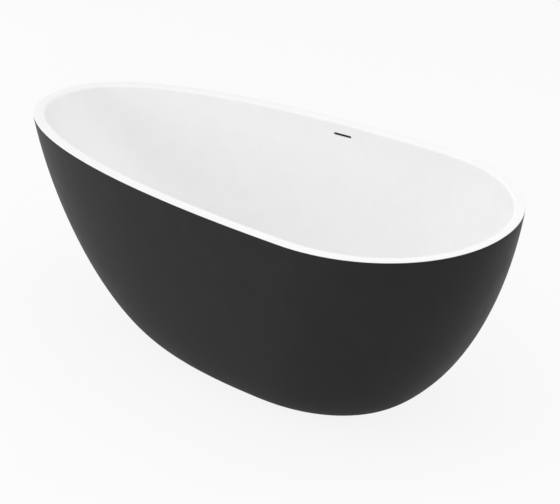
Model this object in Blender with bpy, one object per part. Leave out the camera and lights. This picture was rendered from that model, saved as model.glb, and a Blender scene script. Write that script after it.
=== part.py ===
"""Freestanding egg-shaped bathtub: white basin, charcoal skirt, steel frame, feet, waste and overflow.

Metres, +Z up. The origin is on the floor under the middle of the rim. +X runs towards the wide end
and +Y towards the wall with the overflow slot.
"""

import math

import bmesh
import bpy
import numpy as np
from mathutils import Matrix, Vector
from mathutils.geometry import interpolate_bezier

# Clearances
GAP = 0.0003            # between pieces that touch
RUN = 0.0003            # radial, between a piece and the hole it passes through

# Overall form, seen from above: an egg whose widest point lies towards the wide end
LENGTH = 1.700
WIDTH = 0.825
HEIGHT = 0.650
WIDEST_X = 0.400
RIM_POWERS = (2.315, 2.055)         # narrow end, wide end

# The outline on the floor and the low upright band round it
FOOT_LENGTH = 0.871
FOOT_WIDTH = 0.445
FOOT_X = 0.076
FOOT_WIDEST_X = 0.0445              # from the middle of the foot outline
FOOT_POWERS = (2.33, 2.43)
BAND_HEIGHT = 0.016

# Outer wall between foot and rim: narrow end, sides, wide end
SKIRT_POWERS = (1.19, 0.83, 1.16)
SKIRT_BULGES = (0.745, 0.852, 0.770)
SKIRT_WALL = 0.005
SKIRT_CLEAR = 0.002                 # under the skirt, so that the feet carry the tub
SKIRT_EDGE = 0.008                  # below the rim's top, where the skirt's wall turns upright
FLANGE_WIDTH = 0.028                # base flange, turned inwards

# Basin
BASIN_WALL = 0.006
SEAM = 0.0006                       # between the basin's rim and the skirt
RIM_LIP = 0.0015                    # the rim's thinned edge, which laps over the skirt's top edge
RIM_WIDTH_NARROW = 0.036
RIM_WIDTH_SIDE = 0.036
RIM_WIDTH_WIDE = 0.029
RIM_ROLL = 0.007                    # where the rim turns down into the basin
FLOOR_EDGE_Z = 0.182                # the basin's floor; the frame and the waste fit under it
FLOOR_LENGTH = 0.960
FLOOR_WIDTH = 0.380
FLOOR_X = 0.045
FLOOR_WIDEST_X = 0.080
FLOOR_FALL = 0.004                  # from the floor's edge down to the drain
BASIN_POWERS = (1.0, 1.0, 1.0)
BASIN_BULGES = (0.60, 0.75, 0.70)

# Batten and bead under the basin's rim
BEAD = 0.0020
BEAD_WIDTH = 0.012
BATTEN_BOND = 0.0005                # glue line against the skirt
BATTEN_WIDTH = 0.015
BATTEN_HEIGHT = 0.014

# Overflow slot and the channel box behind it
SLOT_X = 0.036
SLOT_DEPTH = 0.037                  # of its middle under the rim
SLOT_LENGTH = 0.064
SLOT_HEIGHT = 0.0075
SLOT_END = 0.99                     # radius of its round ends, as a share of half its height
GASKET = 0.002
GASKET_STANDOFF = 0.0007
CHANNEL_LENGTH = 0.084
CHANNEL_UP = 0.011                  # above the slot's middle
CHANNEL_DOWN = 0.026
CHANNEL_WALL = 0.002
CHANNEL_LIP = 0.004
CHANNEL_LIP_TOP = 0.001             # above the box, where the rim leaves little room
CHANNEL_HOLE_CORNER = 0.0024
SPOUT_LENGTH = 0.022                # below the channel's lip
SPIGOT_RADIUS = 0.0080
SPIGOT_BORE = 0.0065

# Hose and its clips
HOSE_WALL = 0.0025
HOSE_MIDDLE_Z = 0.300               # where the hose passes between basin and skirt
HOSE_BEND_Y = 0.175                 # where it comes level with the waste
HOSE_FALL = 0.333                   # how firmly it keeps the spout's direction
HOSE_LEAN = 0.45                    # and that of its bend, as shares of each run
CLIP_WALL = 0.0010
CLIP_WIDTH = 0.008
CLIP_HOUSING = (0.008, 0.006)       # length round the hose, height off it
CLIP_CLEAR = 0.0012                 # between the upper clip and the basin

# Waste
DRAIN_X = SLOT_X
DRAIN_RADIUS = 0.026
RECESS_RADIUS = 0.038
RECESS_FLOOR_RADIUS = 0.035
RECESS_DEPTH = 0.0045
FLANGE_RADIUS = 0.0338
FLANGE_THICKNESS = 0.0025
FLANGE_SEAL = 0.0015
THROAT_RADIUS = 0.0240              # outside of the flange's threaded throat
THROAT_BORE = 0.0210
THROAT_LENGTH = 0.045
HUB_RADIUS = 0.0125
HUB_HEIGHT = 0.008
SPOKE = 0.0030
WASTE_SEAL = 0.003
WASTE_COLLAR_RADIUS = 0.036
WASTE_COLLAR = 0.004
WASTE_RADIUS = 0.0285
WASTE_FLOOR_Z = 0.088
WASTE_WALL = 0.003
INLET_Z = 0.105
INLET_LENGTH = 0.026
OUTLET_RADIUS = 0.0215
OUTLET_LENGTH = 0.022
TAIL_RADIUS = 0.020
TAIL_WALL = 0.002
TAIL_COLLAR = 0.0012                # how far its top collar stands out
TAIL_COLLAR_HEIGHT = 0.003
TAIL_BOTTOM_Z = 0.022
TAIL_NUT_RADIUS = 0.0290
TAIL_NUT_GRIP = 0.012               # on the outlet's thread

# Pop-up plug
CAP_RADIUS = 0.0315
CAP_EDGE = 0.0020
CAP_CROWN = 0.0020
CAP_PROFILE = ((0.93, 0.45), (0.66, 0.80), (0.25, 1.0))     # shares of its radius and its crown
CAP_BOSS_RADIUS = 0.0060
CAP_BOSS = 0.0050
PLUG_SEAL = 0.0016
PLUG_SEAL_RADII = (0.0228, 0.0280)
STEM_RADIUS = 0.0035
STEM_LENGTH = 0.050
PISTON_RADIUS = 0.0072
PISTON = 0.003
CARTRIDGE_RADIUS = 0.0095
CARTRIDGE_BORE = 0.0078
CARTRIDGE_FLOOR = 0.002
CARTRIDGE_COLLAR = 0.002
CARTRIDGE_TOP = 0.018               # above the flange's hub
SPRING_LENGTH = 0.012
SPRING_RADIUS = 0.0058
SPRING_WIRE = 0.0006
SPRING_TURNS = 4

# Base board and steel frame
BOARD = 0.015
BOARD_LENGTH = 0.660
BOARD_WIDTH = 0.280
BOARD_CORNER = 0.040
BOARD_HOLE_RADIUS = 0.052
BAR = 0.025                         # square tube
BAR_WALL = 0.002
RAIL_LENGTH = 0.620
RAIL_Y = 0.085
CROSS_OVERHANG = 0.016              # past the middle of the skirt's flange
END_CROSS_X = 0.265                 # from the middle of the foot outline to each end member
MIDDLE_CROSS_X = 0.190
MIDDLE_CROSS_HALF = 0.110

# Feet
FOOT_Y = 0.125
SCREW_RADIUS = 0.006
SCREW_ABOVE = 0.008                 # above the cross member
BUSH_RADIUS = 0.011
BUSH = 0.012
NUT_RADIUS = 0.0108
NUT = 0.007
PAD_RADIUS = 0.022
PAD_NECK_RADIUS = 0.012
PAD_EDGE = 0.006
PAD_HEIGHT = 0.018
PAD_FLOOR = 0.008
FOOT_CHAMFER = 0.0015               # on the ends of a spindle and the rim of a pad

# Brackets and screws
BRACKET = 0.003
BRACKET_WIDTH = 0.024
BRACKET_TAB = 0.026
BRACKET_HEIGHT = 0.118
FIXING_RADIUS = 0.0025
FIXING_HEAD_RADIUS = 0.0048
FIXING_HEAD = 0.0025
BOARD_SCREW_BITE = 0.010
BOARD_SCREW_X = {"narrow": -0.22, "wide": 0.22}     # from the middle of the rails

# Fineness
AROUND = 48
SKIRT_STEPS = 10
BASIN_STEPS = 9
ROLL_STEPS = 2
SIDES = 20                          # of most turned pieces
BOARD_HOLE_SIDES = 32
CAP_SIDES = 24
TUBE_SIDES = 18                     # spigots, stem and cartridge
PAD_SIDES = 16                      # and of the hose clips
ROD_SIDES = 12                      # spindles, their bores and the hose
FIXING_SIDES = 10
NUT_SIDES = 6
CORNER_STEPS = 4
SLOT_END_STEPS = 5
SPRING_STEPS = 12                   # in each turn
HOSE_STEPS = 9                      # in each half of its run
SHARP = math.radians(35)            # edges that turn by more than this stay sharp

# Heights that follow
BASIN_DEPTH = HEIGHT - FLOOR_EDGE_Z
FLOOR_Z = FLOOR_EDGE_Z - FLOOR_FALL
RECESS_Z = FLOOR_Z - RECESS_DEPTH
FLANGE_BOTTOM_Z = RECESS_Z + GAP + FLANGE_SEAL + GAP
FLANGE_TOP_Z = FLANGE_BOTTOM_Z + FLANGE_THICKNESS
THROAT_BOTTOM_Z = FLANGE_TOP_Z - THROAT_LENGTH
WASTE_TOP_Z = RECESS_Z - BASIN_WALL - GAP - WASTE_SEAL - GAP
CAP_BOTTOM_Z = FLANGE_TOP_Z + GAP + PLUG_SEAL + GAP
BOARD_TOP_Z = FLOOR_Z - BASIN_WALL - GAP
RAIL_TOP_Z = BOARD_TOP_Z - BOARD - GAP
CROSS_TOP_Z = RAIL_TOP_Z - BAR - GAP
CROSS_BOTTOM_Z = CROSS_TOP_Z - BAR
BUSH_BOTTOM_Z = CROSS_BOTTOM_Z - GAP - BUSH
SKIRT_TOP_Z = HEIGHT - RIM_LIP - SEAM
BATTEN_TOP_Z = HEIGHT - BASIN_WALL - BEAD
SLOT_Z = HEIGHT - SLOT_DEPTH
HOSE_BORE = SPIGOT_RADIUS + RUN
HOSE_RADIUS = HOSE_BORE + HOSE_WALL
SPOUT_BACK = BASIN_WALL + CLIP_CLEAR + CLIP_WALL + HOSE_RADIUS      # its middle, from the basin's inner face
CHANNEL_START = BASIN_WALL + GASKET_STANDOFF + GASKET + GAP
CHANNEL_BACK = SPOUT_BACK + SPIGOT_RADIUS + CHANNEL_WALL
BRACKET_SEAT_Z = SKIRT_CLEAR + SKIRT_WALL + GAP     # on top of the skirt's flange

ANGLES = np.linspace(0.0, 2.0 * math.pi, AROUND, endpoint=False)
ENDS = {"narrow": FOOT_X - END_CROSS_X, "wide": FOOT_X + END_CROSS_X}
SIDE_SIGNS = {"left": 1, "right": -1}

FINISHES = {
    "white_acrylic": ((0.86, 0.86, 0.85), 0.30, 0.0),
    "charcoal_acrylic": ((0.035, 0.036, 0.038), 0.50, 0.0),
    "sealant": ((0.80, 0.80, 0.79), 0.60, 0.0),
    "plywood": ((0.56, 0.40, 0.24), 0.70, 0.0),
    "galvanised_steel": ((0.55, 0.56, 0.57), 0.45, 1.0),
    "zinc_fixings": ((0.62, 0.61, 0.58), 0.40, 1.0),
    "chrome": ((0.80, 0.80, 0.81), 0.12, 1.0),
    "black_plastic": ((0.03, 0.03, 0.032), 0.50, 0.0),
    "grey_plastic": ((0.42, 0.43, 0.44), 0.50, 0.0),
    "white_plastic": ((0.78, 0.78, 0.77), 0.45, 0.0),
    "black_rubber": ((0.02, 0.02, 0.02), 0.80, 0.0),
    "spring_steel": ((0.50, 0.50, 0.52), 0.30, 1.0),
}


# ---------------------------------------------------------------- scene and mesh helpers

def clear_scene():
    for thing in list(bpy.data.objects):
        bpy.data.objects.remove(thing)


def finish_material(finish):
    """The Principled material of a finish, made once."""
    if finish in bpy.data.materials:
        return bpy.data.materials[finish]
    colour, roughness, metallic = FINISHES[finish]
    made = bpy.data.materials.new(finish)
    made.use_nodes = True
    shader = made.node_tree.nodes["Principled BSDF"]
    shader.inputs["Base Color"].default_value = (*colour, 1.0)
    shader.inputs["Roughness"].default_value = roughness
    shader.inputs["Metallic"].default_value = metallic
    made.diffuse_color = (*colour, 1.0)
    return made


def add(name, shape, finish=None, parent=None, frame=None):
    """Turn a bmesh into an object; a shape without a finish is a cutter."""
    bmesh.ops.recalc_face_normals(shape, faces=shape.faces)
    mesh = bpy.data.meshes.new(name)
    shape.to_mesh(mesh)
    shape.free()
    mesh.shade_smooth()
    mesh.set_sharp_from_angle(angle=SHARP)
    made = bpy.data.objects.new(name, mesh)
    bpy.context.scene.collection.objects.link(made)
    if finish is None:
        made.hide_render = True
        made.display_type = "WIRE"
    else:
        mesh.materials.append(finish_material(finish))
    made.parent = parent
    if frame is not None:
        made.matrix_local = frame
    return made


def joint_empty(name, place):
    """An empty on a moving body's joint axis; the body's pieces are its children."""
    made = bpy.data.objects.new(name, None)
    bpy.context.scene.collection.objects.link(made)
    made.location = place
    return made


def circle(radius, height, sides=SIDES, centre=(0.0, 0.0)):
    turns = np.linspace(0.0, 2.0 * math.pi, sides, endpoint=False)
    x = centre[0] + radius * np.cos(turns)
    y = centre[1] + radius * np.sin(turns)
    return np.column_stack([x, y, np.full(sides, height)])


def rounded_rectangle(x_range, y_range, radius, height, steps=CORNER_STEPS):
    """A flat outline with round corners, as points at one height."""
    points = []
    corners = ((1, 1), (0, 1), (0, 0), (1, 0))
    for quarter, (east, north) in enumerate(corners):
        x = x_range[east] - radius if east else x_range[0] + radius
        y = y_range[north] - radius if north else y_range[0] + radius
        for step in range(steps + 1):
            turn = (quarter + step / steps) * math.pi / 2
            points.append((x + radius * math.cos(turn), y + radius * math.sin(turn), height))
    return np.array(points)


def at_height(outline, height):
    """The points of an outline, laid level at a height."""
    return np.column_stack([outline[:, :2], np.full(len(outline), height)])


def add_rows(shape, rows, closed):
    """Skin rings of points: capped at both ends, or closed from the last ring to the first."""
    made = [[shape.verts.new(point) for point in row] for row in rows]
    pairs = list(zip(made, made[1:]))
    if closed:
        pairs.append((made[-1], made[0]))
    for low, high in pairs:
        for here in range(len(low)):
            there = (here + 1) % len(low)
            shape.faces.new((low[here], low[there], high[there], high[here]))
    return made


def solid(rows):
    """A closed bmesh from rings of points with a flat cap at each end."""
    shape = bmesh.new()
    made = add_rows(shape, rows, closed=False)
    shape.faces.new(made[0])
    shape.faces.new(made[-1])
    return shape


def ring_solid(rows):
    """A closed bmesh from rings of points, joined last to first, with a hole through it."""
    shape = bmesh.new()
    add_rows(shape, rows, closed=True)
    return shape


def turned(profile, sides=SIDES):
    """A full turned body: rings of (radius, height), capped flat."""
    return solid([circle(radius, height, sides) for radius, height in profile])


def turned_ring(profile, sides=SIDES):
    """A turned body with a bore: a closed profile of (radius, height)."""
    return ring_solid([circle(radius, height, sides) for radius, height in profile])


def box(x_range, y_range, z_range):
    shape = bmesh.new()
    size = [high - low for low, high in (x_range, y_range, z_range)]
    middle = [(high + low) / 2 for low, high in (x_range, y_range, z_range)]
    frame = Matrix.Translation(middle) @ Matrix.Diagonal((*size, 1.0))
    bmesh.ops.create_cube(shape, size=1.0, matrix=frame)
    return shape


def merged(shapes):
    """Several separate bodies in one bmesh."""
    whole = bmesh.new()
    for shape in shapes:
        piece = bpy.data.meshes.new("piece")
        shape.to_mesh(piece)
        shape.free()
        whole.from_mesh(piece)
        bpy.data.meshes.remove(piece)
    return whole


def moved(shape, frame):
    bmesh.ops.transform(shape, matrix=frame, verts=shape.verts)
    return shape


def boolean(target, operation, shape, frame=None):
    """Cut a bmesh from an object, or join one to it."""
    count = len(target.modifiers)
    tool = add(f"{target.name}_{operation.lower()}_{count}", shape, parent=target.parent)
    if frame is not None:
        tool.matrix_local = frame
    modifier = target.modifiers.new(f"{operation.lower()}_{count}", "BOOLEAN")
    modifier.operation = operation
    modifier.object = tool


# ---------------------------------------------------------------- the tub's surfaces

def signed_power(value, power):
    return np.sign(value) * np.abs(value) ** power


def egg(length, width, widest_x, powers, middle_x=0.0):
    """An egg seen from above: two half superellipses that meet at its widest point."""
    along = np.cos(ANGLES)
    reach = np.where(along > 0, length / 2 - widest_x, length / 2 + widest_x)
    power = np.where(along > 0, powers[1], powers[0])
    x = middle_x + widest_x + reach * signed_power(along, 2 / power)
    y = width / 2 * signed_power(np.sin(ANGLES), 2 / power)
    return np.column_stack([x, y])


def inset(outline, distance):
    """An anticlockwise outline moved inwards, square to itself."""
    ahead = np.roll(outline, -1, axis=0) - np.roll(outline, 1, axis=0)
    inwards = np.column_stack([-ahead[:, 1], ahead[:, 0]]) / np.linalg.norm(ahead, axis=1, keepdims=True)
    return outline + inwards * np.reshape(distance, (-1, 1))


def rim_outline(distance=0.0):
    return inset(egg(LENGTH, WIDTH, WIDEST_X, RIM_POWERS), distance)


def foot_outline(distance=0.0):
    return inset(egg(FOOT_LENGTH, FOOT_WIDTH, FOOT_WIDEST_X, FOOT_POWERS, FOOT_X), distance)


def round_the_tub(narrow, side, wide):
    """A value for each angle that runs smoothly from the sides to each end."""
    along = np.cos(ANGLES)
    return side + (np.where(along < 0, narrow, wide) - side) * along ** 2


def wall_share(rise, powers, bulges):
    """How far a wall has gone outwards at a share of its height."""
    bulge = round_the_tub(*bulges)
    bowed = math.sqrt(1 - (1 - rise) ** 2)
    return ((1 - bulge) * rise + bulge * bowed) ** round_the_tub(*powers)


def skirt_ring(height):
    """The skirt's outer face at a height between the foot band and its upright edge."""
    top_z = HEIGHT - SKIRT_EDGE
    rise = (height - BAND_HEIGHT) / (top_z - BAND_HEIGHT)
    low, high = foot_outline(), rim_outline()
    share = wall_share(rise, SKIRT_POWERS, SKIRT_BULGES)[:, None]
    return at_height(low + (high - low) * share, height)


def inside_skirt(height, clearance):
    """A ring inside the skirt's wall, which leans, so that its level width is more than its thickness."""
    step = SKIRT_WALL / 2
    run = np.linalg.norm((skirt_ring(height) - skirt_ring(height - step))[:, :2], axis=1) / step
    level_width = SKIRT_WALL * np.sqrt(1 + run ** 2)
    return at_height(inset(skirt_ring(height)[:, :2], level_width + clearance), height)


def rim_width(less=0.0):
    return round_the_tub(RIM_WIDTH_NARROW, RIM_WIDTH_SIDE, RIM_WIDTH_WIDE) - less


def basin_ring(height):
    """The basin's inner face at a height between its floor and its rim."""
    rise = (height - FLOOR_EDGE_Z) / BASIN_DEPTH
    low = egg(FLOOR_LENGTH, FLOOR_WIDTH, FLOOR_WIDEST_X, RIM_POWERS, FLOOR_X)
    high = rim_outline(rim_width())
    share = wall_share(rise, BASIN_POWERS, BASIN_BULGES)[:, None]
    return at_height(low + (high - low) * share, height)


def eased_heights(bottom, top, steps):
    """Heights that lie closer together near the bottom, where a wall turns fastest."""
    return [bottom + (top - bottom) * (1 - math.cos(math.pi / 2 * step / steps))
            for step in range(steps + 1)]


def half_width(ring, x):
    """Where the +Y side of a ring crosses a given x."""
    upper = ring[ring[:, 1] > 0]
    order = np.argsort(upper[:, 0])
    return float(np.interp(x, upper[order, 0], upper[order, 1]))


def slot_frame():
    """Axes at the overflow slot: X along the wall, Y outwards through it, Z up the wall."""
    def wall(dx, dz):
        return Vector((dx, half_width(basin_ring(SLOT_Z + dz), SLOT_X + dx), dz))
    reach = SLOT_LENGTH / 2
    along = (wall(reach, 0) - wall(-reach, 0)).normalized()
    up = wall(0, reach / 2) - wall(0, -reach)
    outwards = up.cross(along).normalized()
    up = along.cross(outwards)
    frame = Matrix((along, outwards, up)).transposed().to_4x4()
    frame.translation = (SLOT_X, wall(0, 0).y, SLOT_Z)
    return frame


# ---------------------------------------------------------------- shells

def shell(name, rows, finish, first_faces, thickness):
    """A sheet over rings of points, with its wall behind it; its first faces point along first_faces."""
    shape = bmesh.new()
    add_rows(shape, rows, closed=False)
    made = add(name, shape, finish)
    if made.data.polygons[0].normal.dot(first_faces) < 0:
        made.data.flip_normals()
    modifier = made.modifiers.new("wall", "SOLIDIFY")
    modifier.thickness = thickness
    modifier.offset = -1.0
    modifier.use_even_offset = True
    return made


def outer_skirt():
    top_z = HEIGHT - SKIRT_EDGE
    rows = [at_height(foot_outline(FLANGE_WIDTH), SKIRT_CLEAR)]
    rows.append(at_height(foot_outline(), SKIRT_CLEAR))
    batten_bottom = BATTEN_TOP_Z - BATTEN_HEIGHT
    rows += [skirt_ring(z) for z in eased_heights(BAND_HEIGHT, batten_bottom, SKIRT_STEPS)]
    rows.append(skirt_ring(top_z))
    rows.append(at_height(rim_outline(), SKIRT_TOP_Z))
    skirt = shell("outer_skirt", rows, "charcoal_acrylic", Vector((0, 0, -1)), SKIRT_WALL)
    boolean(skirt, "DIFFERENCE", merged(skirt_screw_holes()))


def roll_rows():
    """Where the flat rim turns down into the wall: a curve tangent to both at each angle."""
    flat_end = at_height(rim_outline(rim_width(RIM_ROLL)), HEIGHT)
    corner = at_height(rim_outline(rim_width()), HEIGHT)
    wall_top = basin_ring(HEIGHT - RIM_ROLL)
    rows = []
    for step in range(ROLL_STEPS):
        part = step / ROLL_STEPS
        weights = ((1 - part) ** 2, 2 * part * (1 - part), part ** 2)
        rows.append(weights[0] * flat_end + weights[1] * corner + weights[2] * wall_top)
    return rows


def inner_basin():
    """The basin, whose rim is rebated to lap over the skirt's top edge, flush with its outer face."""
    drain = (DRAIN_X, 0.0)
    rows = [at_height(rim_outline(), HEIGHT)]
    rows += roll_rows()
    heights = eased_heights(FLOOR_EDGE_Z, HEIGHT - RIM_ROLL, BASIN_STEPS)
    rows += [basin_ring(z) for z in reversed(heights)]
    rows.append(circle(RECESS_RADIUS, FLOOR_Z, AROUND, drain))
    rows.append(circle(RECESS_FLOOR_RADIUS, RECESS_Z, AROUND, drain))
    rows.append(circle(DRAIN_RADIUS, RECESS_Z, AROUND, drain))
    basin = shell("inner_basin", rows, "white_acrylic", Vector((0, 0, 1)), BASIN_WALL)
    low, high, reach = HEIGHT - 2 * BASIN_WALL, HEIGHT - RIM_LIP, SKIRT_WALL + SEAM
    rebate = [
        at_height(rim_outline(-BASIN_WALL), low),
        at_height(rim_outline(-BASIN_WALL), high),
        at_height(rim_outline(reach), high),
        at_height(rim_outline(reach), low),
    ]
    boolean(basin, "DIFFERENCE", ring_solid(rebate))
    half = SLOT_HEIGHT / 2
    mouth = rounded_rectangle((-SLOT_LENGTH / 2, SLOT_LENGTH / 2), (-half, half), half * SLOT_END, 0,
                              SLOT_END_STEPS)
    cutter = solid([at_height(mouth, -BASIN_WALL), at_height(mouth, 3 * BASIN_WALL)])
    upright = Matrix.Rotation(-math.pi / 2, 4, "X")
    boolean(basin, "DIFFERENCE", cutter, slot_frame() @ upright)


def rim_batten_and_bead():
    bottom = BATTEN_TOP_Z - BATTEN_HEIGHT
    batten = [
        inside_skirt(bottom, BATTEN_BOND),
        inside_skirt(BATTEN_TOP_Z, BATTEN_BOND),
        inside_skirt(BATTEN_TOP_Z, BATTEN_BOND + BATTEN_WIDTH),
        inside_skirt(bottom, BATTEN_BOND + BATTEN_WIDTH),
    ]
    add("rim_batten", ring_solid(batten), "plywood")
    low, high = BATTEN_TOP_Z + GAP, HEIGHT - BASIN_WALL - GAP
    start = SKIRT_WALL + 2 * SEAM
    bead = [
        at_height(rim_outline(start), low),
        at_height(rim_outline(start), high),
        at_height(rim_outline(start + BEAD_WIDTH), high),
        at_height(rim_outline(start + BEAD_WIDTH), low),
    ]
    add("rim_bond_bead", ring_solid(bead), "sealant")


# ---------------------------------------------------------------- board and frame

def base_board():
    x_range = (FOOT_X - BOARD_LENGTH / 2, FOOT_X + BOARD_LENGTH / 2)
    y_range = (-BOARD_WIDTH / 2, BOARD_WIDTH / 2)
    edge = rounded_rectangle(x_range, y_range, BOARD_CORNER, 0)
    board = add("base_board", solid([at_height(edge, BOARD_TOP_Z - BOARD), at_height(edge, BOARD_TOP_Z)]),
                "plywood")
    hole = turned([(BOARD_HOLE_RADIUS, BOARD_TOP_Z - 2 * BOARD),
                   (BOARD_HOLE_RADIUS, BOARD_TOP_Z + BOARD)], BOARD_HOLE_SIDES)
    boolean(board, "DIFFERENCE", moved(hole, Matrix.Translation((DRAIN_X, 0, 0))))
    boolean(board, "DIFFERENCE", merged(board_screw_holes(SIDE_SIGNS)))


def board_screw_places():
    """Name and place of each screw that passes up through a rail into the board."""
    return {f"{end}_{side}": (FOOT_X + x, sign * RAIL_Y)
            for side, sign in SIDE_SIGNS.items() for end, x in BOARD_SCREW_X.items()}


def board_screw_holes(sides):
    profile = [(FIXING_RADIUS + RUN, RAIL_TOP_Z - 2 * BAR),
               (FIXING_RADIUS + RUN, BOARD_TOP_Z - BOARD + BOARD_SCREW_BITE + RUN)]
    return [moved(turned(profile, FIXING_SIDES), Matrix.Translation((*place, 0)))
            for name, place in board_screw_places().items() if name.split("_")[1] in sides]


def board_screws():
    head_top = RAIL_TOP_Z - BAR - GAP
    profile = [(FIXING_HEAD_RADIUS, head_top - FIXING_HEAD), (FIXING_HEAD_RADIUS, head_top),
               (FIXING_RADIUS, head_top), (FIXING_RADIUS, BOARD_TOP_Z - BOARD + BOARD_SCREW_BITE)]
    for name, place in board_screw_places().items():
        add(f"board_screw_{name}", turned(profile, FIXING_SIDES), "zinc_fixings",
            frame=Matrix.Translation((*place, 0)))


def square_tube(length_from, length_to):
    """A square tube along X, with its top at z = 0 and its middle at y = 0."""
    def section(x, wall):
        reach = BAR / 2 - wall
        middle = -BAR / 2
        corners = ((-reach, -reach), (reach, -reach), (reach, reach), (-reach, reach))
        return np.array([(x, y, middle + z) for y, z in corners])
    return ring_solid([section(length_from, 0), section(length_to, 0),
                       section(length_to, BAR_WALL), section(length_from, BAR_WALL)])


def rails():
    for side, sign in SIDE_SIGNS.items():
        shape = square_tube(FOOT_X - RAIL_LENGTH / 2, FOOT_X + RAIL_LENGTH / 2)
        rail = add(f"frame_rail_{side}", moved(shape, Matrix.Translation((0, sign * RAIL_Y, RAIL_TOP_Z))),
                   "galvanised_steel")
        boolean(rail, "DIFFERENCE", merged(board_screw_holes((side,))))


def flange_middle_y(x):
    """The middle of the skirt's base flange on the +Y side."""
    return half_width(foot_outline(FLANGE_WIDTH / 2), x)


def cross_member(name, x, reach, feet_y):
    quarter = Matrix.Rotation(math.pi / 2, 4, "Z")
    shape = moved(square_tube(-reach, reach), quarter)
    bar = add(name, moved(shape, Matrix.Translation((x, 0, CROSS_TOP_Z))), "galvanised_steel")
    radius = SCREW_RADIUS + 2 * RUN
    holes = [moved(turned([(radius, CROSS_BOTTOM_Z - BAR), (radius, CROSS_TOP_Z + BAR / 4)], ROD_SIDES),
                   Matrix.Translation((x, y, 0))) for y in feet_y]
    boolean(bar, "DIFFERENCE", merged(holes))


def cross_members():
    for end, x in ENDS.items():
        cross_member(f"frame_cross_{end}", x, flange_middle_y(x) + CROSS_OVERHANG, (-FOOT_Y, FOOT_Y))
    cross_member("frame_cross_middle", MIDDLE_CROSS_X, MIDDLE_CROSS_HALF, (0.0,))


# ---------------------------------------------------------------- brackets between skirt and frame

def bracket_places():
    """Each bracket's name, the middle of its tab, and which way along X the tab points."""
    places = []
    for end, cross_x in ENDS.items():
        inwards = 1 if cross_x < FOOT_X else -1
        x = cross_x + inwards * (BAR / 2 + GAP + BRACKET + BRACKET_TAB / 2)
        for side, sign in SIDE_SIGNS.items():
            places.append((f"{end}_{side}", (x, sign * flange_middle_y(cross_x)), inwards))
    return places


def skirt_screw_holes():
    profile = [(FIXING_RADIUS + RUN, 0), (FIXING_RADIUS + RUN, BRACKET_SEAT_Z + 2 * BRACKET)]
    return [moved(turned(profile, ROD_SIDES), Matrix.Translation((*place, 0)))
            for _, place, _ in bracket_places()]


def skirt_brackets():
    """Angles welded to the cross members, whose tabs lie on the skirt's flange, and their screws."""
    top_z = BRACKET_SEAT_Z + BRACKET_HEIGHT
    seat = BRACKET_SEAT_Z + BRACKET + GAP
    profile = [(FIXING_RADIUS, SKIRT_CLEAR + GAP), (FIXING_RADIUS, seat),
               (FIXING_HEAD_RADIUS, seat), (FIXING_HEAD_RADIUS, seat + FIXING_HEAD)]
    for (name, (x, y), inwards), hole in zip(bracket_places(), skirt_screw_holes()):
        back = -inwards * (BRACKET_TAB / 2 + BRACKET)
        inner = -inwards * BRACKET_TAB / 2
        front = inwards * BRACKET_TAB / 2
        corners = ((back, BRACKET_SEAT_Z), (front, BRACKET_SEAT_Z), (front, BRACKET_SEAT_Z + BRACKET),
                   (inner, BRACKET_SEAT_Z + BRACKET), (inner, top_z), (back, top_z))
        rows = [np.array([(x + dx, y + dy, z) for dx, z in corners])
                for dy in (-BRACKET_WIDTH / 2, BRACKET_WIDTH / 2)]
        bracket = add(f"skirt_bracket_{name}", solid(rows), "galvanised_steel")
        boolean(bracket, "DIFFERENCE", hole)
        add(f"skirt_screw_{name}", turned(profile, FIXING_SIDES), "zinc_fixings",
            frame=Matrix.Translation((x, y, 0)))


# ---------------------------------------------------------------- feet

def foot_places():
    places = {f"{end}_{side}": (x, sign * FOOT_Y)
              for end, x in ENDS.items() for side, sign in SIDE_SIGNS.items()}
    places["middle"] = (MIDDLE_CROSS_X, 0.0)
    return places


def foot(name, place):
    """A threaded bush under the frame, and the spindle, lock nut and pad that stand in it."""
    at_foot = Matrix.Translation((*place, 0))
    bore = SCREW_RADIUS + RUN
    bush = turned_ring([(BUSH_RADIUS, BUSH_BOTTOM_Z), (BUSH_RADIUS, BUSH_BOTTOM_Z + BUSH),
                        (bore, BUSH_BOTTOM_Z + BUSH), (bore, BUSH_BOTTOM_Z)], ROD_SIDES)
    add(f"foot_bush_{name}", bush, "galvanised_steel", frame=at_foot)
    nut_top = BUSH_BOTTOM_Z - GAP
    nut = turned([(NUT_RADIUS, nut_top - NUT), (NUT_RADIUS, nut_top)], NUT_SIDES)
    lock_nut = add(f"foot_lock_nut_{name}", nut, "zinc_fixings", frame=at_foot)
    hole = turned([(bore, nut_top - 2 * NUT), (bore, nut_top + NUT)], ROD_SIDES)
    boolean(lock_nut, "DIFFERENCE", hole, at_foot)
    axis = joint_empty(f"foot_axis_{name}", (*place, 0))
    screw_foot = PAD_FLOOR + GAP
    screw_top = CROSS_TOP_Z + SCREW_ABOVE
    add(f"foot_screw_{name}", turned([
        (SCREW_RADIUS - FOOT_CHAMFER, screw_foot), (SCREW_RADIUS, screw_foot + FOOT_CHAMFER),
        (SCREW_RADIUS, screw_top - FOOT_CHAMFER), (SCREW_RADIUS - FOOT_CHAMFER, screw_top)], ROD_SIDES),
        "zinc_fixings", parent=axis)
    add(f"foot_pad_{name}", turned_pad(bore), "black_rubber", parent=axis)


def turned_pad(bore):
    """A round pad, wide on the floor, with a blind socket for its spindle."""
    return turned([
        (PAD_RADIUS - FOOT_CHAMFER, 0), (PAD_RADIUS, FOOT_CHAMFER), (PAD_RADIUS, PAD_EDGE),
        (PAD_NECK_RADIUS, PAD_HEIGHT), (bore, PAD_HEIGHT), (bore, PAD_FLOOR)], PAD_SIDES)


# ---------------------------------------------------------------- waste

def waste_frame():
    return Matrix.Translation((DRAIN_X, 0, 0))


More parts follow.
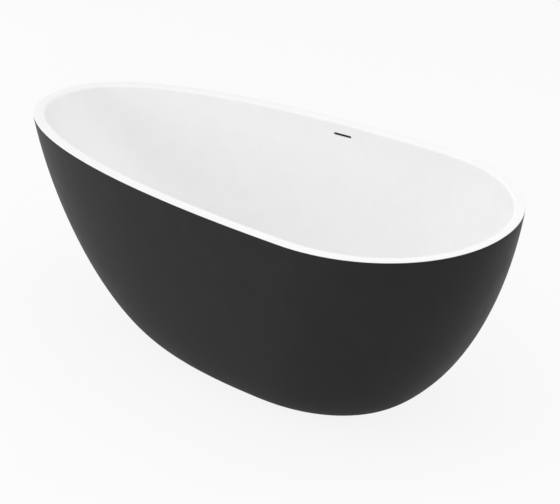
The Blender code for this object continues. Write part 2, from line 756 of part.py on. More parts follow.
def waste_flange():
    """A dished flange with its threaded throat, four spokes and a hub for the plug's cartridge."""
    at_drain = waste_frame()
    ease = FLANGE_THICKNESS / 2
    body = turned_ring([
        (THROAT_BORE, THROAT_BOTTOM_Z), (THROAT_RADIUS, THROAT_BOTTOM_Z),
        (THROAT_RADIUS, FLANGE_BOTTOM_Z), (FLANGE_RADIUS - ease, FLANGE_BOTTOM_Z),
        (FLANGE_RADIUS, FLANGE_BOTTOM_Z + ease), (FLANGE_RADIUS - ease, FLANGE_TOP_Z),
        (THROAT_BORE + ease, FLANGE_TOP_Z), (THROAT_BORE, FLANGE_BOTTOM_Z)])
    flange = add("waste_flange", body, "chrome", frame=at_drain)
    reach = (THROAT_RADIUS + THROAT_BORE) / 2
    for turn in (0, math.pi / 2):
        spoke = box((-reach, reach), (-SPOKE / 2, SPOKE / 2),
                    (THROAT_BOTTOM_Z + GAP, THROAT_BOTTOM_Z + HUB_HEIGHT - GAP))
        boolean(flange, "UNION", spoke, at_drain @ Matrix.Rotation(turn, 4, "Z"))
    hub = turned([(HUB_RADIUS, THROAT_BOTTOM_Z), (HUB_RADIUS, THROAT_BOTTOM_Z + HUB_HEIGHT)])
    boolean(flange, "UNION", hub, at_drain)
    radius = CARTRIDGE_RADIUS + RUN
    bore = turned([(radius, THROAT_BOTTOM_Z - HUB_HEIGHT), (radius, THROAT_BOTTOM_Z + 2 * HUB_HEIGHT)])
    boolean(flange, "DIFFERENCE", bore, at_drain)


def washer(name, radii, bottom, thickness):
    inner, outer = radii
    top = bottom + thickness
    return add(name, turned_ring([(inner, bottom), (outer, bottom), (outer, top), (inner, top)]),
               "black_rubber", frame=waste_frame())


def waste_seals():
    washer("waste_flange_seal", (DRAIN_RADIUS + RUN, FLANGE_RADIUS - FLANGE_THICKNESS),
           RECESS_Z + GAP, FLANGE_SEAL)
    washer("waste_body_seal", (THROAT_RADIUS + RUN, WASTE_COLLAR_RADIUS), WASTE_TOP_Z + GAP, WASTE_SEAL)


def waste_body():
    """The chamber under the drain, with a spigot for the overflow hose and a threaded outlet."""
    at_drain = waste_frame()
    bore = THROAT_RADIUS + RUN
    outlet_bore = OUTLET_RADIUS - WASTE_WALL
    body = turned_ring([
        (bore, WASTE_TOP_Z), (WASTE_COLLAR_RADIUS, WASTE_TOP_Z),
        (WASTE_COLLAR_RADIUS, WASTE_TOP_Z - WASTE_COLLAR), (WASTE_RADIUS, WASTE_TOP_Z - WASTE_COLLAR),
        (WASTE_RADIUS, WASTE_FLOOR_Z), (OUTLET_RADIUS, WASTE_FLOOR_Z),
        (OUTLET_RADIUS, WASTE_FLOOR_Z - OUTLET_LENGTH), (outlet_bore, WASTE_FLOOR_Z - OUTLET_LENGTH),
        (outlet_bore, WASTE_FLOOR_Z + WASTE_WALL), (bore, WASTE_FLOOR_Z + WASTE_WALL)])
    chamber = add("waste_body", body, "black_plastic", frame=at_drain)
    side = at_drain @ Matrix.Translation((0, 0, INLET_Z)) @ Matrix.Rotation(-math.pi / 2, 4, "X")
    inside = (bore + WASTE_RADIUS) / 2
    spigot = turned([(SPIGOT_RADIUS, inside), (SPIGOT_RADIUS, WASTE_RADIUS + INLET_LENGTH)], TUBE_SIDES)
    boolean(chamber, "UNION", spigot, side)
    hole = turned([(SPIGOT_BORE, bore / 2), (SPIGOT_BORE, WASTE_RADIUS + 2 * INLET_LENGTH)], TUBE_SIDES)
    boolean(chamber, "DIFFERENCE", hole, side)


def waste_tail():
    """The outlet pipe, with a collar at its top, and the nut that holds it."""
    top = WASTE_FLOOR_Z - OUTLET_LENGTH - GAP
    under_collar = top - TAIL_COLLAR_HEIGHT
    bore = TAIL_RADIUS - TAIL_WALL
    collar = TAIL_RADIUS + TAIL_COLLAR
    pipe = turned_ring([(bore, TAIL_BOTTOM_Z), (TAIL_RADIUS, TAIL_BOTTOM_Z), (TAIL_RADIUS, under_collar),
                        (collar, under_collar), (collar, top), (bore, top)])
    add("waste_tail", pipe, "white_plastic", frame=waste_frame())
    nut_bore = OUTLET_RADIUS + RUN
    neck = TAIL_RADIUS + RUN
    lip_top = under_collar - GAP
    bottom = lip_top - TAIL_COLLAR_HEIGHT
    nut_top = WASTE_FLOOR_Z - OUTLET_LENGTH + TAIL_NUT_GRIP
    nut = turned_ring([(neck, bottom), (TAIL_NUT_RADIUS, bottom), (TAIL_NUT_RADIUS, nut_top),
                       (nut_bore, nut_top), (nut_bore, lip_top), (neck, lip_top)])
    add("waste_tail_nut", nut, "black_plastic", frame=waste_frame())


# ---------------------------------------------------------------- pop-up plug

def plug():
    """The cap with its seal and stem, which rise together out of a cartridge with a spring."""
    axis = joint_empty("plug_axis", (DRAIN_X, 0, 0))
    hole = STEM_RADIUS + RUN
    socket_top = CAP_BOTTOM_Z
    boss_bottom = CAP_BOTTOM_Z - CAP_BOSS
    top = CAP_BOTTOM_Z + CAP_EDGE
    cap = turned([
        (hole, socket_top), (hole, boss_bottom), (CAP_BOSS_RADIUS, boss_bottom),
        (CAP_BOSS_RADIUS, CAP_BOTTOM_Z), (CAP_RADIUS, CAP_BOTTOM_Z), (CAP_RADIUS, top),
        *((CAP_RADIUS * out, top + CAP_CROWN * up) for out, up in CAP_PROFILE)], CAP_SIDES)
    add("plug_cap", cap, "chrome", parent=axis)
    seal_z = FLANGE_TOP_Z + GAP
    inner, outer = PLUG_SEAL_RADII
    seal = turned_ring([(inner, seal_z), (outer, seal_z),
                        (outer, seal_z + PLUG_SEAL), (inner, seal_z + PLUG_SEAL)])
    add("plug_seal", seal, "black_rubber", parent=axis)
    stem_top = socket_top - GAP
    stem_bottom = stem_top - STEM_LENGTH
    add("plug_stem", turned([
        (PISTON_RADIUS, stem_bottom), (PISTON_RADIUS, stem_bottom + PISTON),
        (STEM_RADIUS, stem_bottom + PISTON), (STEM_RADIUS, stem_top)], TUBE_SIDES), "chrome", parent=axis)
    return stem_bottom


def plug_cartridge(stem_bottom):
    spring_bottom = stem_bottom - GAP - SPRING_LENGTH
    inside = spring_bottom - GAP
    outside = inside - CARTRIDGE_FLOOR
    hub_top = THROAT_BOTTOM_Z + HUB_HEIGHT
    top = hub_top + CARTRIDGE_TOP
    neck = STEM_RADIUS + 2 * RUN
    collar_z = hub_top + GAP
    tube = turned([
        (CARTRIDGE_BORE, inside), (CARTRIDGE_BORE, top - CARTRIDGE_FLOOR), (neck, top - CARTRIDGE_FLOOR),
        (neck, top), (CARTRIDGE_RADIUS, top), (CARTRIDGE_RADIUS, collar_z + CARTRIDGE_COLLAR),
        (HUB_RADIUS, collar_z + CARTRIDGE_COLLAR), (HUB_RADIUS, collar_z), (CARTRIDGE_RADIUS, collar_z),
        (CARTRIDGE_RADIUS, outside)], TUBE_SIDES)
    add("plug_cartridge", tube, "white_plastic", frame=waste_frame())
    plug_spring(spring_bottom)


def plug_spring(bottom):
    """A compression spring between the cartridge's floor and the stem's piston."""
    rise = SPRING_LENGTH - 2 * SPRING_WIRE
    steps = SPRING_TURNS * SPRING_STEPS
    curve = bpy.data.curves.new("plug_spring", "CURVE")
    curve.dimensions = "3D"
    curve.bevel_depth = SPRING_WIRE
    curve.bevel_resolution = 1
    curve.use_fill_caps = True
    spline = curve.splines.new("POLY")
    spline.points.add(steps)
    for step, point in enumerate(spline.points):
        turn = 2 * math.pi * SPRING_TURNS * step / steps
        height = bottom + SPRING_WIRE + rise * step / steps
        point.co = (SPRING_RADIUS * math.cos(turn), SPRING_RADIUS * math.sin(turn), height, 1.0)
    curve.materials.append(finish_material("spring_steel"))
    spring = bpy.data.objects.new("plug_spring", curve)
    bpy.context.scene.collection.objects.link(spring)
    spring.location = (DRAIN_X, 0, 0)


# ---------------------------------------------------------------- overflow

def framed_slab(x_range, y_range, hole_x, hole_y, front, back):
    """A flat frame with a round-cornered hole, from `front` to `back` in depth."""
    outer = rounded_rectangle(x_range, y_range, CHANNEL_LIP, 0)
    inner = rounded_rectangle(hole_x, hole_y, CHANNEL_HOLE_CORNER, 0)
    return ring_solid([at_height(outer, front), at_height(outer, back),
                       at_height(inner, back), at_height(inner, front)])


def overflow_frame():
    """The slot's axes with local Z pointing out through the wall and local Y down it."""
    return slot_frame() @ Matrix.Rotation(-math.pi / 2, 4, "X")


def overflow_channel():
    """A gasket and a channel box behind the slot, with a spout at its bottom."""
    half = CHANNEL_LENGTH / 2
    front = BASIN_WALL + GASKET_STANDOFF
    lip_x = (-half - CHANNEL_LIP, half + CHANNEL_LIP)
    lip_y = (-CHANNEL_UP - CHANNEL_LIP_TOP, CHANNEL_DOWN + CHANNEL_LIP)
    hole_x = (-half + CHANNEL_WALL, half - CHANNEL_WALL)
    hole_y = (-CHANNEL_UP + CHANNEL_WALL, CHANNEL_DOWN - CHANNEL_WALL)
    gasket = framed_slab(lip_x, lip_y, hole_x, hole_y, front, front + GASKET)
    add("overflow_gasket", gasket, "black_rubber", frame=overflow_frame())
    start, back = CHANNEL_START, CHANNEL_BACK
    outer = rounded_rectangle(lip_x, lip_y, CHANNEL_LIP, 0)
    body = rounded_rectangle((-half, half), (-CHANNEL_UP, CHANNEL_DOWN), CHANNEL_LIP, 0)
    inner = rounded_rectangle(hole_x, hole_y, CHANNEL_HOLE_CORNER, 0)
    rows = [at_height(inner, back - CHANNEL_WALL), at_height(inner, start), at_height(outer, start),
            at_height(outer, start + CHANNEL_WALL), at_height(body, start + CHANNEL_WALL),
            at_height(body, back)]
    channel = add("overflow_channel", solid(rows), "black_plastic", frame=overflow_frame())
    down = slot_frame() @ Matrix.Translation((0, SPOUT_BACK, 0)) @ Matrix.Rotation(math.pi, 4, "X")
    inside = CHANNEL_DOWN - CHANNEL_WALL
    tip = CHANNEL_DOWN + CHANNEL_LIP + SPOUT_LENGTH - GAP
    spout = turned([(SPIGOT_RADIUS, inside + CHANNEL_WALL / 2), (SPIGOT_RADIUS, tip)], TUBE_SIDES)
    boolean(channel, "UNION", spout, down)
    bore = turned([(SPIGOT_BORE, inside / 2), (SPIGOT_BORE, 2 * tip)], TUBE_SIDES)
    boolean(channel, "DIFFERENCE", bore, down)


def hose_path():
    """Down from the spout, between basin and skirt, and level into the waste's spigot."""
    frame = slot_frame()
    down = -frame.col[2].xyz
    start = frame @ Vector((0, SPOUT_BACK, -CHANNEL_DOWN - CHANNEL_LIP - GAP))
    leave = start + down * SPOUT_LENGTH
    basin_y = half_width(basin_ring(HOSE_MIDDLE_Z), SLOT_X)
    skirt_y = half_width(skirt_ring(HOSE_MIDDLE_Z), SLOT_X)
    middle = Vector((DRAIN_X, (basin_y + skirt_y) / 2, HOSE_MIDDLE_Z))
    bend = Vector((DRAIN_X, HOSE_BEND_Y, INLET_Z))
    arrive = Vector((DRAIN_X, WASTE_RADIUS + INLET_LENGTH + 3 * GAP, INLET_Z))
    end = Vector((DRAIN_X, WASTE_RADIUS + GAP, INLET_Z))
    fall = (leave - middle).length * HOSE_FALL
    lean = (bend - middle).length * HOSE_LEAN
    towards = (middle - leave).normalized()
    upper = interpolate_bezier(leave, leave + down * fall, middle - towards * fall, middle, HOSE_STEPS)
    across = Vector((0, lean, 0))
    lower = interpolate_bezier(middle, middle + towards * lean, bend + across, bend, HOSE_STEPS)
    return [start, *upper, *lower[1:], arrive, end]


def tube_rings(path, radius, sides):
    """Rings of points square to a path, without twist."""
    rings = []
    side = Vector((1, 0, 0))
    for index, place in enumerate(path):
        before, after = path[max(index - 1, 0)], path[min(index + 1, len(path) - 1)]
        ahead = (after - before).normalized()
        side = (side - ahead * side.dot(ahead)).normalized()
        other = ahead.cross(side)
        rings.append(np.array([
            place + (side * math.cos(turn) + other * math.sin(turn)) * radius
            for turn in (2 * math.pi * step / sides for step in range(sides))]))
    return rings


def overflow_hose():
    path = hose_path()
    outside = tube_rings(path, HOSE_RADIUS, ROD_SIDES)
    inside = tube_rings(path, HOSE_BORE / math.cos(math.pi / ROD_SIDES), ROD_SIDES)
    add("overflow_hose", ring_solid(outside + inside[::-1]), "grey_plastic")
    hose_clip("hose_clip_upper", path[0], path[1])
    hose_clip("hose_clip_lower", path[-1], path[-2])


def hose_clip(name, end, inner):
    """A band round the hose over its spigot, with a screw housing on its side."""
    ahead = (inner - end).normalized()
    side = Vector((1, 0, 0))
    side = (side - ahead * side.dot(ahead)).normalized()
    frame = Matrix((side, ahead.cross(side), ahead)).transposed().to_4x4()
    frame.translation = end + (inner - end) / 2
    bore = HOSE_RADIUS / math.cos(math.pi / PAD_SIDES) + GAP
    outside = bore + CLIP_WALL
    low, high = -CLIP_WIDTH / 2, CLIP_WIDTH / 2
    band = turned_ring([(bore, low), (outside, low), (outside, high), (bore, high)], PAD_SIDES)
    clip = add(name, band, "zinc_fixings", frame=frame)
    length, height = CLIP_HOUSING
    housing = box((bore + CLIP_WALL / 2, outside + height), (-length / 2, length / 2), (low, high))
    boolean(clip, "UNION", housing, frame)


# ---------------------------------------------------------------- the whole tub

def build():
    clear_scene()
    outer_skirt()
    inner_basin()
    rim_batten_and_bead()
    base_board()
    rails()
    cross_members()
    skirt_brackets()
    board_screws()
    for name, place in foot_places().items():
        foot(name, place)
    waste_flange()
    waste_seals()
    waste_body()
    waste_tail()
    plug_cartridge(plug())
    overflow_channel()
    overflow_hose()


build()
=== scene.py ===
"""Freestanding egg-shaped bathtub: fine surfaces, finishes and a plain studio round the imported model.

Metres, +Z up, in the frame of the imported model. +X runs towards the wide end of the tub, and +Y
towards the wall with the overflow slot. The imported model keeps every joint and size; this file adds
the smooth skins, threads, ribs and materials that ride on its bodies.
"""

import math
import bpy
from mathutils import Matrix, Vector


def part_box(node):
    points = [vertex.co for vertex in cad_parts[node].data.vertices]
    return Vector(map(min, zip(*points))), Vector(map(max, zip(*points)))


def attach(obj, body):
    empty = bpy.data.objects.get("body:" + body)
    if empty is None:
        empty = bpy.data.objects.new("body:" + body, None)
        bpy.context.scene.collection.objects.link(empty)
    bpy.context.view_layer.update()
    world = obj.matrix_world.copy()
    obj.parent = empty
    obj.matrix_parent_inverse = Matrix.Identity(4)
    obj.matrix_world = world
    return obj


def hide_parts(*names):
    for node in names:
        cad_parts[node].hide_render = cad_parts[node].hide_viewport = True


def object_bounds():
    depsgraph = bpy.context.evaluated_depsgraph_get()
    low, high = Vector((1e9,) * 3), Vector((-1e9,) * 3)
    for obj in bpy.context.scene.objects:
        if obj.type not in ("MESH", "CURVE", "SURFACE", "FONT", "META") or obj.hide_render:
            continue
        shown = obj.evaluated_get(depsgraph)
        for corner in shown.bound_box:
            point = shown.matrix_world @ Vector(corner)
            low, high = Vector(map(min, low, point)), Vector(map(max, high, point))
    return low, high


bl_info = {
    "name": "Egg Bathtub Finishes",
    "version": (1, 0, 0),
    "blender": (4, 5, 0),
    "location": "3D Viewport > Sidebar > Bathtub",
    "description": "Fine surfaces, materials and a studio for a freestanding egg-shaped bathtub",
    "category": "Object",
}

import bmesh
import bpy
import numpy as np
from bpy.props import FloatProperty, FloatVectorProperty, IntProperty, PointerProperty
from mathutils import Matrix, Vector
from mathutils.geometry import interpolate_bezier

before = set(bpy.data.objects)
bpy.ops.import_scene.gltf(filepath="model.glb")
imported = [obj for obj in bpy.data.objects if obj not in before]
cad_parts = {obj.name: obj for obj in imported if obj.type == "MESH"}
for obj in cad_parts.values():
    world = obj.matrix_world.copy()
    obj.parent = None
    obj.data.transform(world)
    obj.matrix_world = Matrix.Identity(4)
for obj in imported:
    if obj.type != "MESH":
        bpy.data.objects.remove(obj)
CAD_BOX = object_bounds()

FEET = ("narrow_left", "narrow_right", "wide_left", "wide_right", "middle")
CORNERS = FEET[:4]
FINE = np.linspace(0.0, 2.0 * math.pi, 384, endpoint=False)
COARSE = np.linspace(0.0, 2.0 * math.pi, 48, endpoint=False)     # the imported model's own facets
TOUCH = 0.0003                                                   # gap between pieces that touch
WALL_STEPS = 72
ROLL_STEPS = 16
EDGE_STEPS = 5
FLOOR_STEPS = 8
CORNER_STEPS = 3        # facets that round a profile's corner
THREAD_RINGS = 6        # in each turn of a thread


# ---------------------------------------------------------------- properties

def size(name, description, default):
    return FloatProperty(name=name, description=description, default=default, unit="LENGTH",
                         precision=4)


def number(name, description, default):
    return FloatProperty(name=name, description=description, default=default, precision=3)


def three(name, description, default):
    return FloatVectorProperty(name=name, description=description, default=default, size=3)


def colour(name, description, default):
    return FloatVectorProperty(name=name, description=description, default=default, size=3,
                               min=0.0, max=1.0, subtype="COLOR")


def degrees(name, description, default):
    return FloatProperty(name=name, description=description, default=math.radians(default),
                         subtype="ANGLE")


class TubForm(bpy.types.PropertyGroup):
    """Sizes of the two shells."""

    length: size("Length", "Rim, end to end", CAD_BOX[1].x - CAD_BOX[0].x)
    width: size("Width", "Rim, side to side", CAD_BOX[1].y - CAD_BOX[0].y)
    height: size("Height", "Floor to rim", CAD_BOX[1].z)
    widest_x: size("Widest point", "Where the rim is widest, from its middle", 0.400)
    narrow_power: number("Narrow end power", "Superellipse power of the narrow half", 2.315)
    wide_power: number("Wide end power", "Superellipse power of the wide half", 2.055)
    foot_length: size("Foot length", "Outline on the floor, end to end", 0.871)
    foot_width: size("Foot width", "Outline on the floor, side to side", 0.445)
    foot_x: size("Foot middle", "Middle of the outline on the floor", 0.076)
    foot_widest_x: size("Foot widest point", "From the middle of the outline on the floor", 0.0445)
    foot_narrow_power: number("Foot narrow power", "Power of the foot's narrow half", 2.33)
    foot_wide_power: number("Foot wide power", "Power of the foot's wide half", 2.43)
    band_height: size("Foot band", "Height of the upright band round the foot", 0.016)
    band_fillet: size("Band fillet", "Hollow where the band meets the wall", 0.005)
    skirt_powers: three("Skirt powers", "Outward sweep at narrow end, sides, wide end",
                        (1.19, 0.83, 1.16))
    skirt_bulges: three("Skirt bulges", "Roundness at narrow end, sides, wide end",
                        (0.745, 0.852, 0.770))
    skirt_wall: size("Skirt wall", "Thickness of the outer skirt", 0.005)
    skirt_clear: size("Skirt clearance", "Between the skirt and the floor", 0.002)
    skirt_edge: size("Skirt edge", "Where the skirt's wall turns upright, below the rim", 0.008)
    flange_width: size("Flange", "Base flange, turned inwards", 0.028)
    edge_radius: size("Edge radius", "Rounding of the rim's outer edge", 0.0008)
    recess_edge: size("Recess edge", "Rounding of the drain's recess and hole", 0.0016)
    fine_edge: size("Fine edge", "Rounding of the shells' meeting edges", 0.0003)
    seam: size("Seam", "Between the basin's rim and the skirt's top edge", 0.0006)
    basin_wall: size("Basin wall", "Thickness of the basin", 0.006)
    rim_lip: size("Rim lip", "Thickness of the rim's edge over the skirt's top edge", 0.0015)
    rim_width_narrow: size("Rim at the narrow end", "Width of the rim at the narrow end", 0.036)
    rim_width_side: size("Rim at the sides", "Width of the rim along the sides", 0.036)
    rim_width_wide: size("Rim at the wide end", "Width of the rim at the wide end", 0.029)
    rim_roll: size("Rim roll", "Size of the curve from rim to wall", 0.007)
    basin_depth: size("Basin depth", "Rim to the edge of the basin's floor", 0.468)
    basin_bulges: three("Basin bulges", "Roundness at narrow end, sides, wide end",
                        (0.60, 0.75, 0.70))
    floor_length: size("Floor length", "Basin's floor, end to end", 0.960)
    floor_width: size("Floor width", "Basin's floor, side to side", 0.380)
    floor_x: size("Floor middle", "Middle of the basin's floor", 0.045)
    floor_widest_x: size("Floor widest point", "From the middle of the basin's floor", 0.080)
    floor_fall: size("Floor fall", "From the floor's edge down to the drain", 0.004)
    slot_x: size("Slot position", "Overflow slot and drain along the tub", 0.036)
    slot_depth: size("Slot depth", "Middle of the overflow slot under the rim", 0.037)
    slot_length: size("Slot length", "Overflow slot, end to end", 0.064)
    slot_height: size("Slot height", "Overflow slot, top to bottom", 0.0075)
    drain_radius: size("Drain radius", "Hole in the basin's floor", 0.026)
    recess_radius: size("Recess radius", "Dish round the drain", 0.038)
    recess_floor_radius: size("Recess floor", "Flat floor of the dish", 0.035)
    recess_depth: size("Recess depth", "Depth of the dish", 0.0045)


class FittingSizes(bpy.types.PropertyGroup):
    """Sizes of threads, ribs and other fine detail on the fittings."""

    thread_pitch: size("Thread pitch", "Pitch of the feet's threads", 0.00175)
    thread_depth: size("Thread depth", "Depth of the feet's threads", 0.0009)
    hose_rib: size("Hose rib", "Distance between the ribs of the hose", 0.0055)
    hose_rib_depth: size("Hose rib depth", "Depth of the ribs of the hose", 0.0011)
    hose_cuff: size("Hose cuff", "Plain end of the hose under each clip", 0.016)
    nut_ribs: IntProperty(name="Nut ribs", description="Grip ribs round the tail nut", default=16)
    tube_bevel: size("Tube corner", "Rounding of the frame tubes' edges", 0.0018)


class FinishColours(bpy.types.PropertyGroup):
    """Base colours of the finishes."""

    white_acrylic: colour("White acrylic", "Basin and rim", (0.92, 0.92, 0.92))
    charcoal_acrylic: colour("Charcoal acrylic", "Outer skirt", (0.0310, 0.0312, 0.0315))
    plywood: colour("Plywood", "Base board and rim batten", (0.56, 0.40, 0.24))
    galvanised_steel: colour("Galvanised steel", "Frame and brackets", (0.55, 0.56, 0.57))
    zinc_fixings: colour("Zinc plate", "Screws, nuts and clips", (0.66, 0.65, 0.62))
    chrome: colour("Chrome", "Plug and waste flange", (0.80, 0.80, 0.81))
    black_plastic: colour("Black plastic", "Waste body and overflow channel", (0.022, 0.022, 0.024))
    grey_plastic: colour("Grey plastic", "Overflow hose", (0.36, 0.37, 0.38))
    white_plastic: colour("White plastic", "Outlet tail and plug cartridge", (0.78, 0.78, 0.76))
    black_rubber: colour("Rubber", "Pads and seals", (0.020, 0.020, 0.021))
    sealant: colour("Sealant", "Bonding bead under the rim", (0.78, 0.78, 0.76))
    spring_steel: colour("Spring steel", "Plug's spring", (0.50, 0.50, 0.52))
    stage: colour("Floor", "Studio floor", (0.80, 0.80, 0.80))


class StudioSettings(bpy.types.PropertyGroup):
    """Camera and light."""

    azimuth: degrees("Azimuth", "Camera's direction round the tub", 38.8132)
    elevation: degrees("Elevation", "Camera's height over the horizon", 26.7184)
    distance: size("Distance", "Camera to the point it looks at", 5.4898)
    look_height: size("Look height", "Height of the point in the tub that the view is set from", 0.30)
    look_right: size("Look right", "Shift of the looked-at point to the right", 0.0615)
    look_up: size("Look up", "Shift of the looked-at point upwards", 0.0347)
    lens: FloatProperty(name="Lens", description="Focal length in millimetres, on a 36 mm sensor",
                        default=115.71)
    fill: number("Fill", "Strength of the world's even light", 0.63)
    shadow: number("Shadow", "Share of the floor's tone that comes from the light on it", 0.12)
    mirrored_shadow: number("Mirrored shadow", "That share in the floor's reflection", 0.75)
    top_light: number("Top light", "Power of the softbox overhead, in watts", 36.0)
    left_light: number("Left light", "Power of the low lamp off the narrow end, in watts", 12.0)
    front_light: number("Front light", "Power of the lamp in front, in watts", 52.0)


# ---------------------------------------------------------------- shapes: (points, faces)

def loft(rings, closed=False):
    """Skin rings of points: capped flat at both ends, or closed from the last ring to the first."""
    around, count = len(rings[0]), len(rings)
    points = [tuple(point) for ring in rings for point in ring]
    faces = []
    for low in range(count if closed else count - 1):
        here, there = low * around, (low + 1) % count * around
        faces += [(here + k, here + (k + 1) % around, there + (k + 1) % around, there + k)
                  for k in range(around)]
    if not closed:
        faces.append(tuple(range(around))[::-1])
        faces.append(tuple(range((count - 1) * around, count * around)))
    return points, faces


def placed(shape, matrix):
    points, faces = shape
    return [tuple(matrix @ Vector(point)) for point in points], faces


def at(x, y, z=0.0):
    return Matrix.Translation((x, y, z))


def softened(profile, radius, closed=True):
    """A profile with each corner rounded, as far as its sides allow."""
    points = [Vector(point) for point in profile]
    made = []
    for index, here in enumerate(points):
        if not closed and index in (0, len(points) - 1):
            made.append(tuple(here))
            continue
        before, after = points[index - 1], points[(index + 1) % len(points)]
        reach = min(radius, 0.45 * (before - here).length, 0.45 * (after - here).length)
        start = here + (before - here).normalized() * reach
        end = here + (after - here).normalized() * reach
        for step in range(CORNER_STEPS + 1):
            share = step / CORNER_STEPS
            made.append(tuple(start.lerp(here, share).lerp(here.lerp(end, share), share)))
    return made


def circle(radius, height, sides):
    turns = np.linspace(0.0, 2.0 * math.pi, sides, endpoint=False)
    return np.column_stack([radius * np.cos(turns), radius * np.sin(turns), np.full(sides, height)])


def turned_ring(profile, sides=64, soft=0.0004):
    """A turned body with a bore, from a closed profile of (radius, height)."""
    return loft([circle(*point, sides) for point in softened(profile, soft)], closed=True)


def turned(profile, sides=64, soft=0.0004):
    """A turned body, capped flat, from (radius, height) pairs that run from one end to the other."""
    return loft([circle(*point, sides) for point in softened(profile, soft, closed=False)])


def outline(half_x, half_y, corner, steps=10):
    """A rectangle with round corners, anticlockwise, as (x, y) points."""
    points = []
    for quarter, (east, north) in enumerate(((1, 1), (-1, 1), (-1, -1), (1, -1))):
        for step in range(steps + 1):
            turn = (quarter + step / steps) * math.pi / 2
            points.append((east * (half_x - corner) + corner * math.cos(turn),
                           north * (half_y - corner) + corner * math.sin(turn)))
    return np.array(points)


def level(points, height):
    return np.column_stack([points[:, :2], np.full(len(points), height)])


def tube(path, radii, sides):
    """Rings of points square to a path, without twist, each with its own radius."""
    rings, side = [], Vector((1, 0, 0))
    for index, (place, radius) in enumerate(zip(path, radii)):
        ahead = (path[min(index + 1, len(path) - 1)] - path[max(index - 1, 0)]).normalized()
        side = (side - ahead * side.dot(ahead)).normalized()
        other = ahead.cross(side)
        rings.append([place + (side * math.cos(turn) + other * math.sin(turn)) * radius
                      for turn in (2 * math.pi * step / sides for step in range(sides))])
    return rings


def mesh_object(name, shape):
    mesh = bpy.data.meshes.new(name)
    mesh.from_pydata(shape[0], [], shape[1])
    tidy = bmesh.new()
    tidy.from_mesh(mesh)
    bmesh.ops.recalc_face_normals(tidy, faces=tidy.faces)
    tidy.to_mesh(mesh)
    tidy.free()
    made = bpy.data.objects.new(name, mesh)
    bpy.context.scene.collection.objects.link(made)
    return made


def carved(made, tools):
    """Apply booleans to a piece: (operation, shape) pairs, in order."""
    helpers = []
    for operation, shape in tools:
        helper = mesh_object(f"{made.name}_{operation.lower()}", shape)
        modifier = made.modifiers.new(operation.title(), "BOOLEAN")
        modifier.operation = operation
        modifier.object = helper
        helpers.append(helper)
    graph = bpy.context.evaluated_depsgraph_get()
    made.data = bpy.data.meshes.new_from_object(made.evaluated_get(graph))
    made.modifiers.clear()
    for helper in helpers:
        bpy.data.objects.remove(helper)


def piece(name, shape, body, nodes, finish, tools=(), sharp=40.0):
    """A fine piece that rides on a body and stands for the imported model's plain ones."""
    made = mesh_object(name, shape)
    if tools:
        carved(made, tools)
    made.data.materials.clear()
    made.data.materials.append(finish)
    made.data.shade_smooth()
    made.data.set_sharp_from_angle(angle=math.radians(sharp))
    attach(made, body)
    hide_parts(*nodes)
    return made


# ---------------------------------------------------------------- the tub's surfaces

def signed_power(value, power):
    return np.sign(value) * np.abs(value) ** power


def inset(line, distance):
    """An anticlockwise outline moved inwards, square to itself."""
    ahead = np.roll(line, -1, axis=0) - np.roll(line, 1, axis=0)
    inwards = np.column_stack([-ahead[:, 1], ahead[:, 0]]) / np.linalg.norm(ahead, axis=1, keepdims=True)
    return line + inwards * np.reshape(distance, (-1, 1))


def thickened(rows, distance):
    """The same rings moved square to their surface, to its hidden side."""
    grid = np.array(rows)
    across = np.cross(np.gradient(grid, axis=0), np.roll(grid, -1, axis=1) - np.roll(grid, 1, axis=1))
    return list(grid + across / np.linalg.norm(across, axis=2, keepdims=True) * distance)


def bent(start, corner, end, steps):
    """Rings along a curve that leaves start towards corner and arrives at end from it."""
    rows = []
    for step in range(1, steps):
        t = step / steps
        rows.append((1 - t) ** 2 * start + 2 * t * (1 - t) * corner + t * t * end)
    return rows


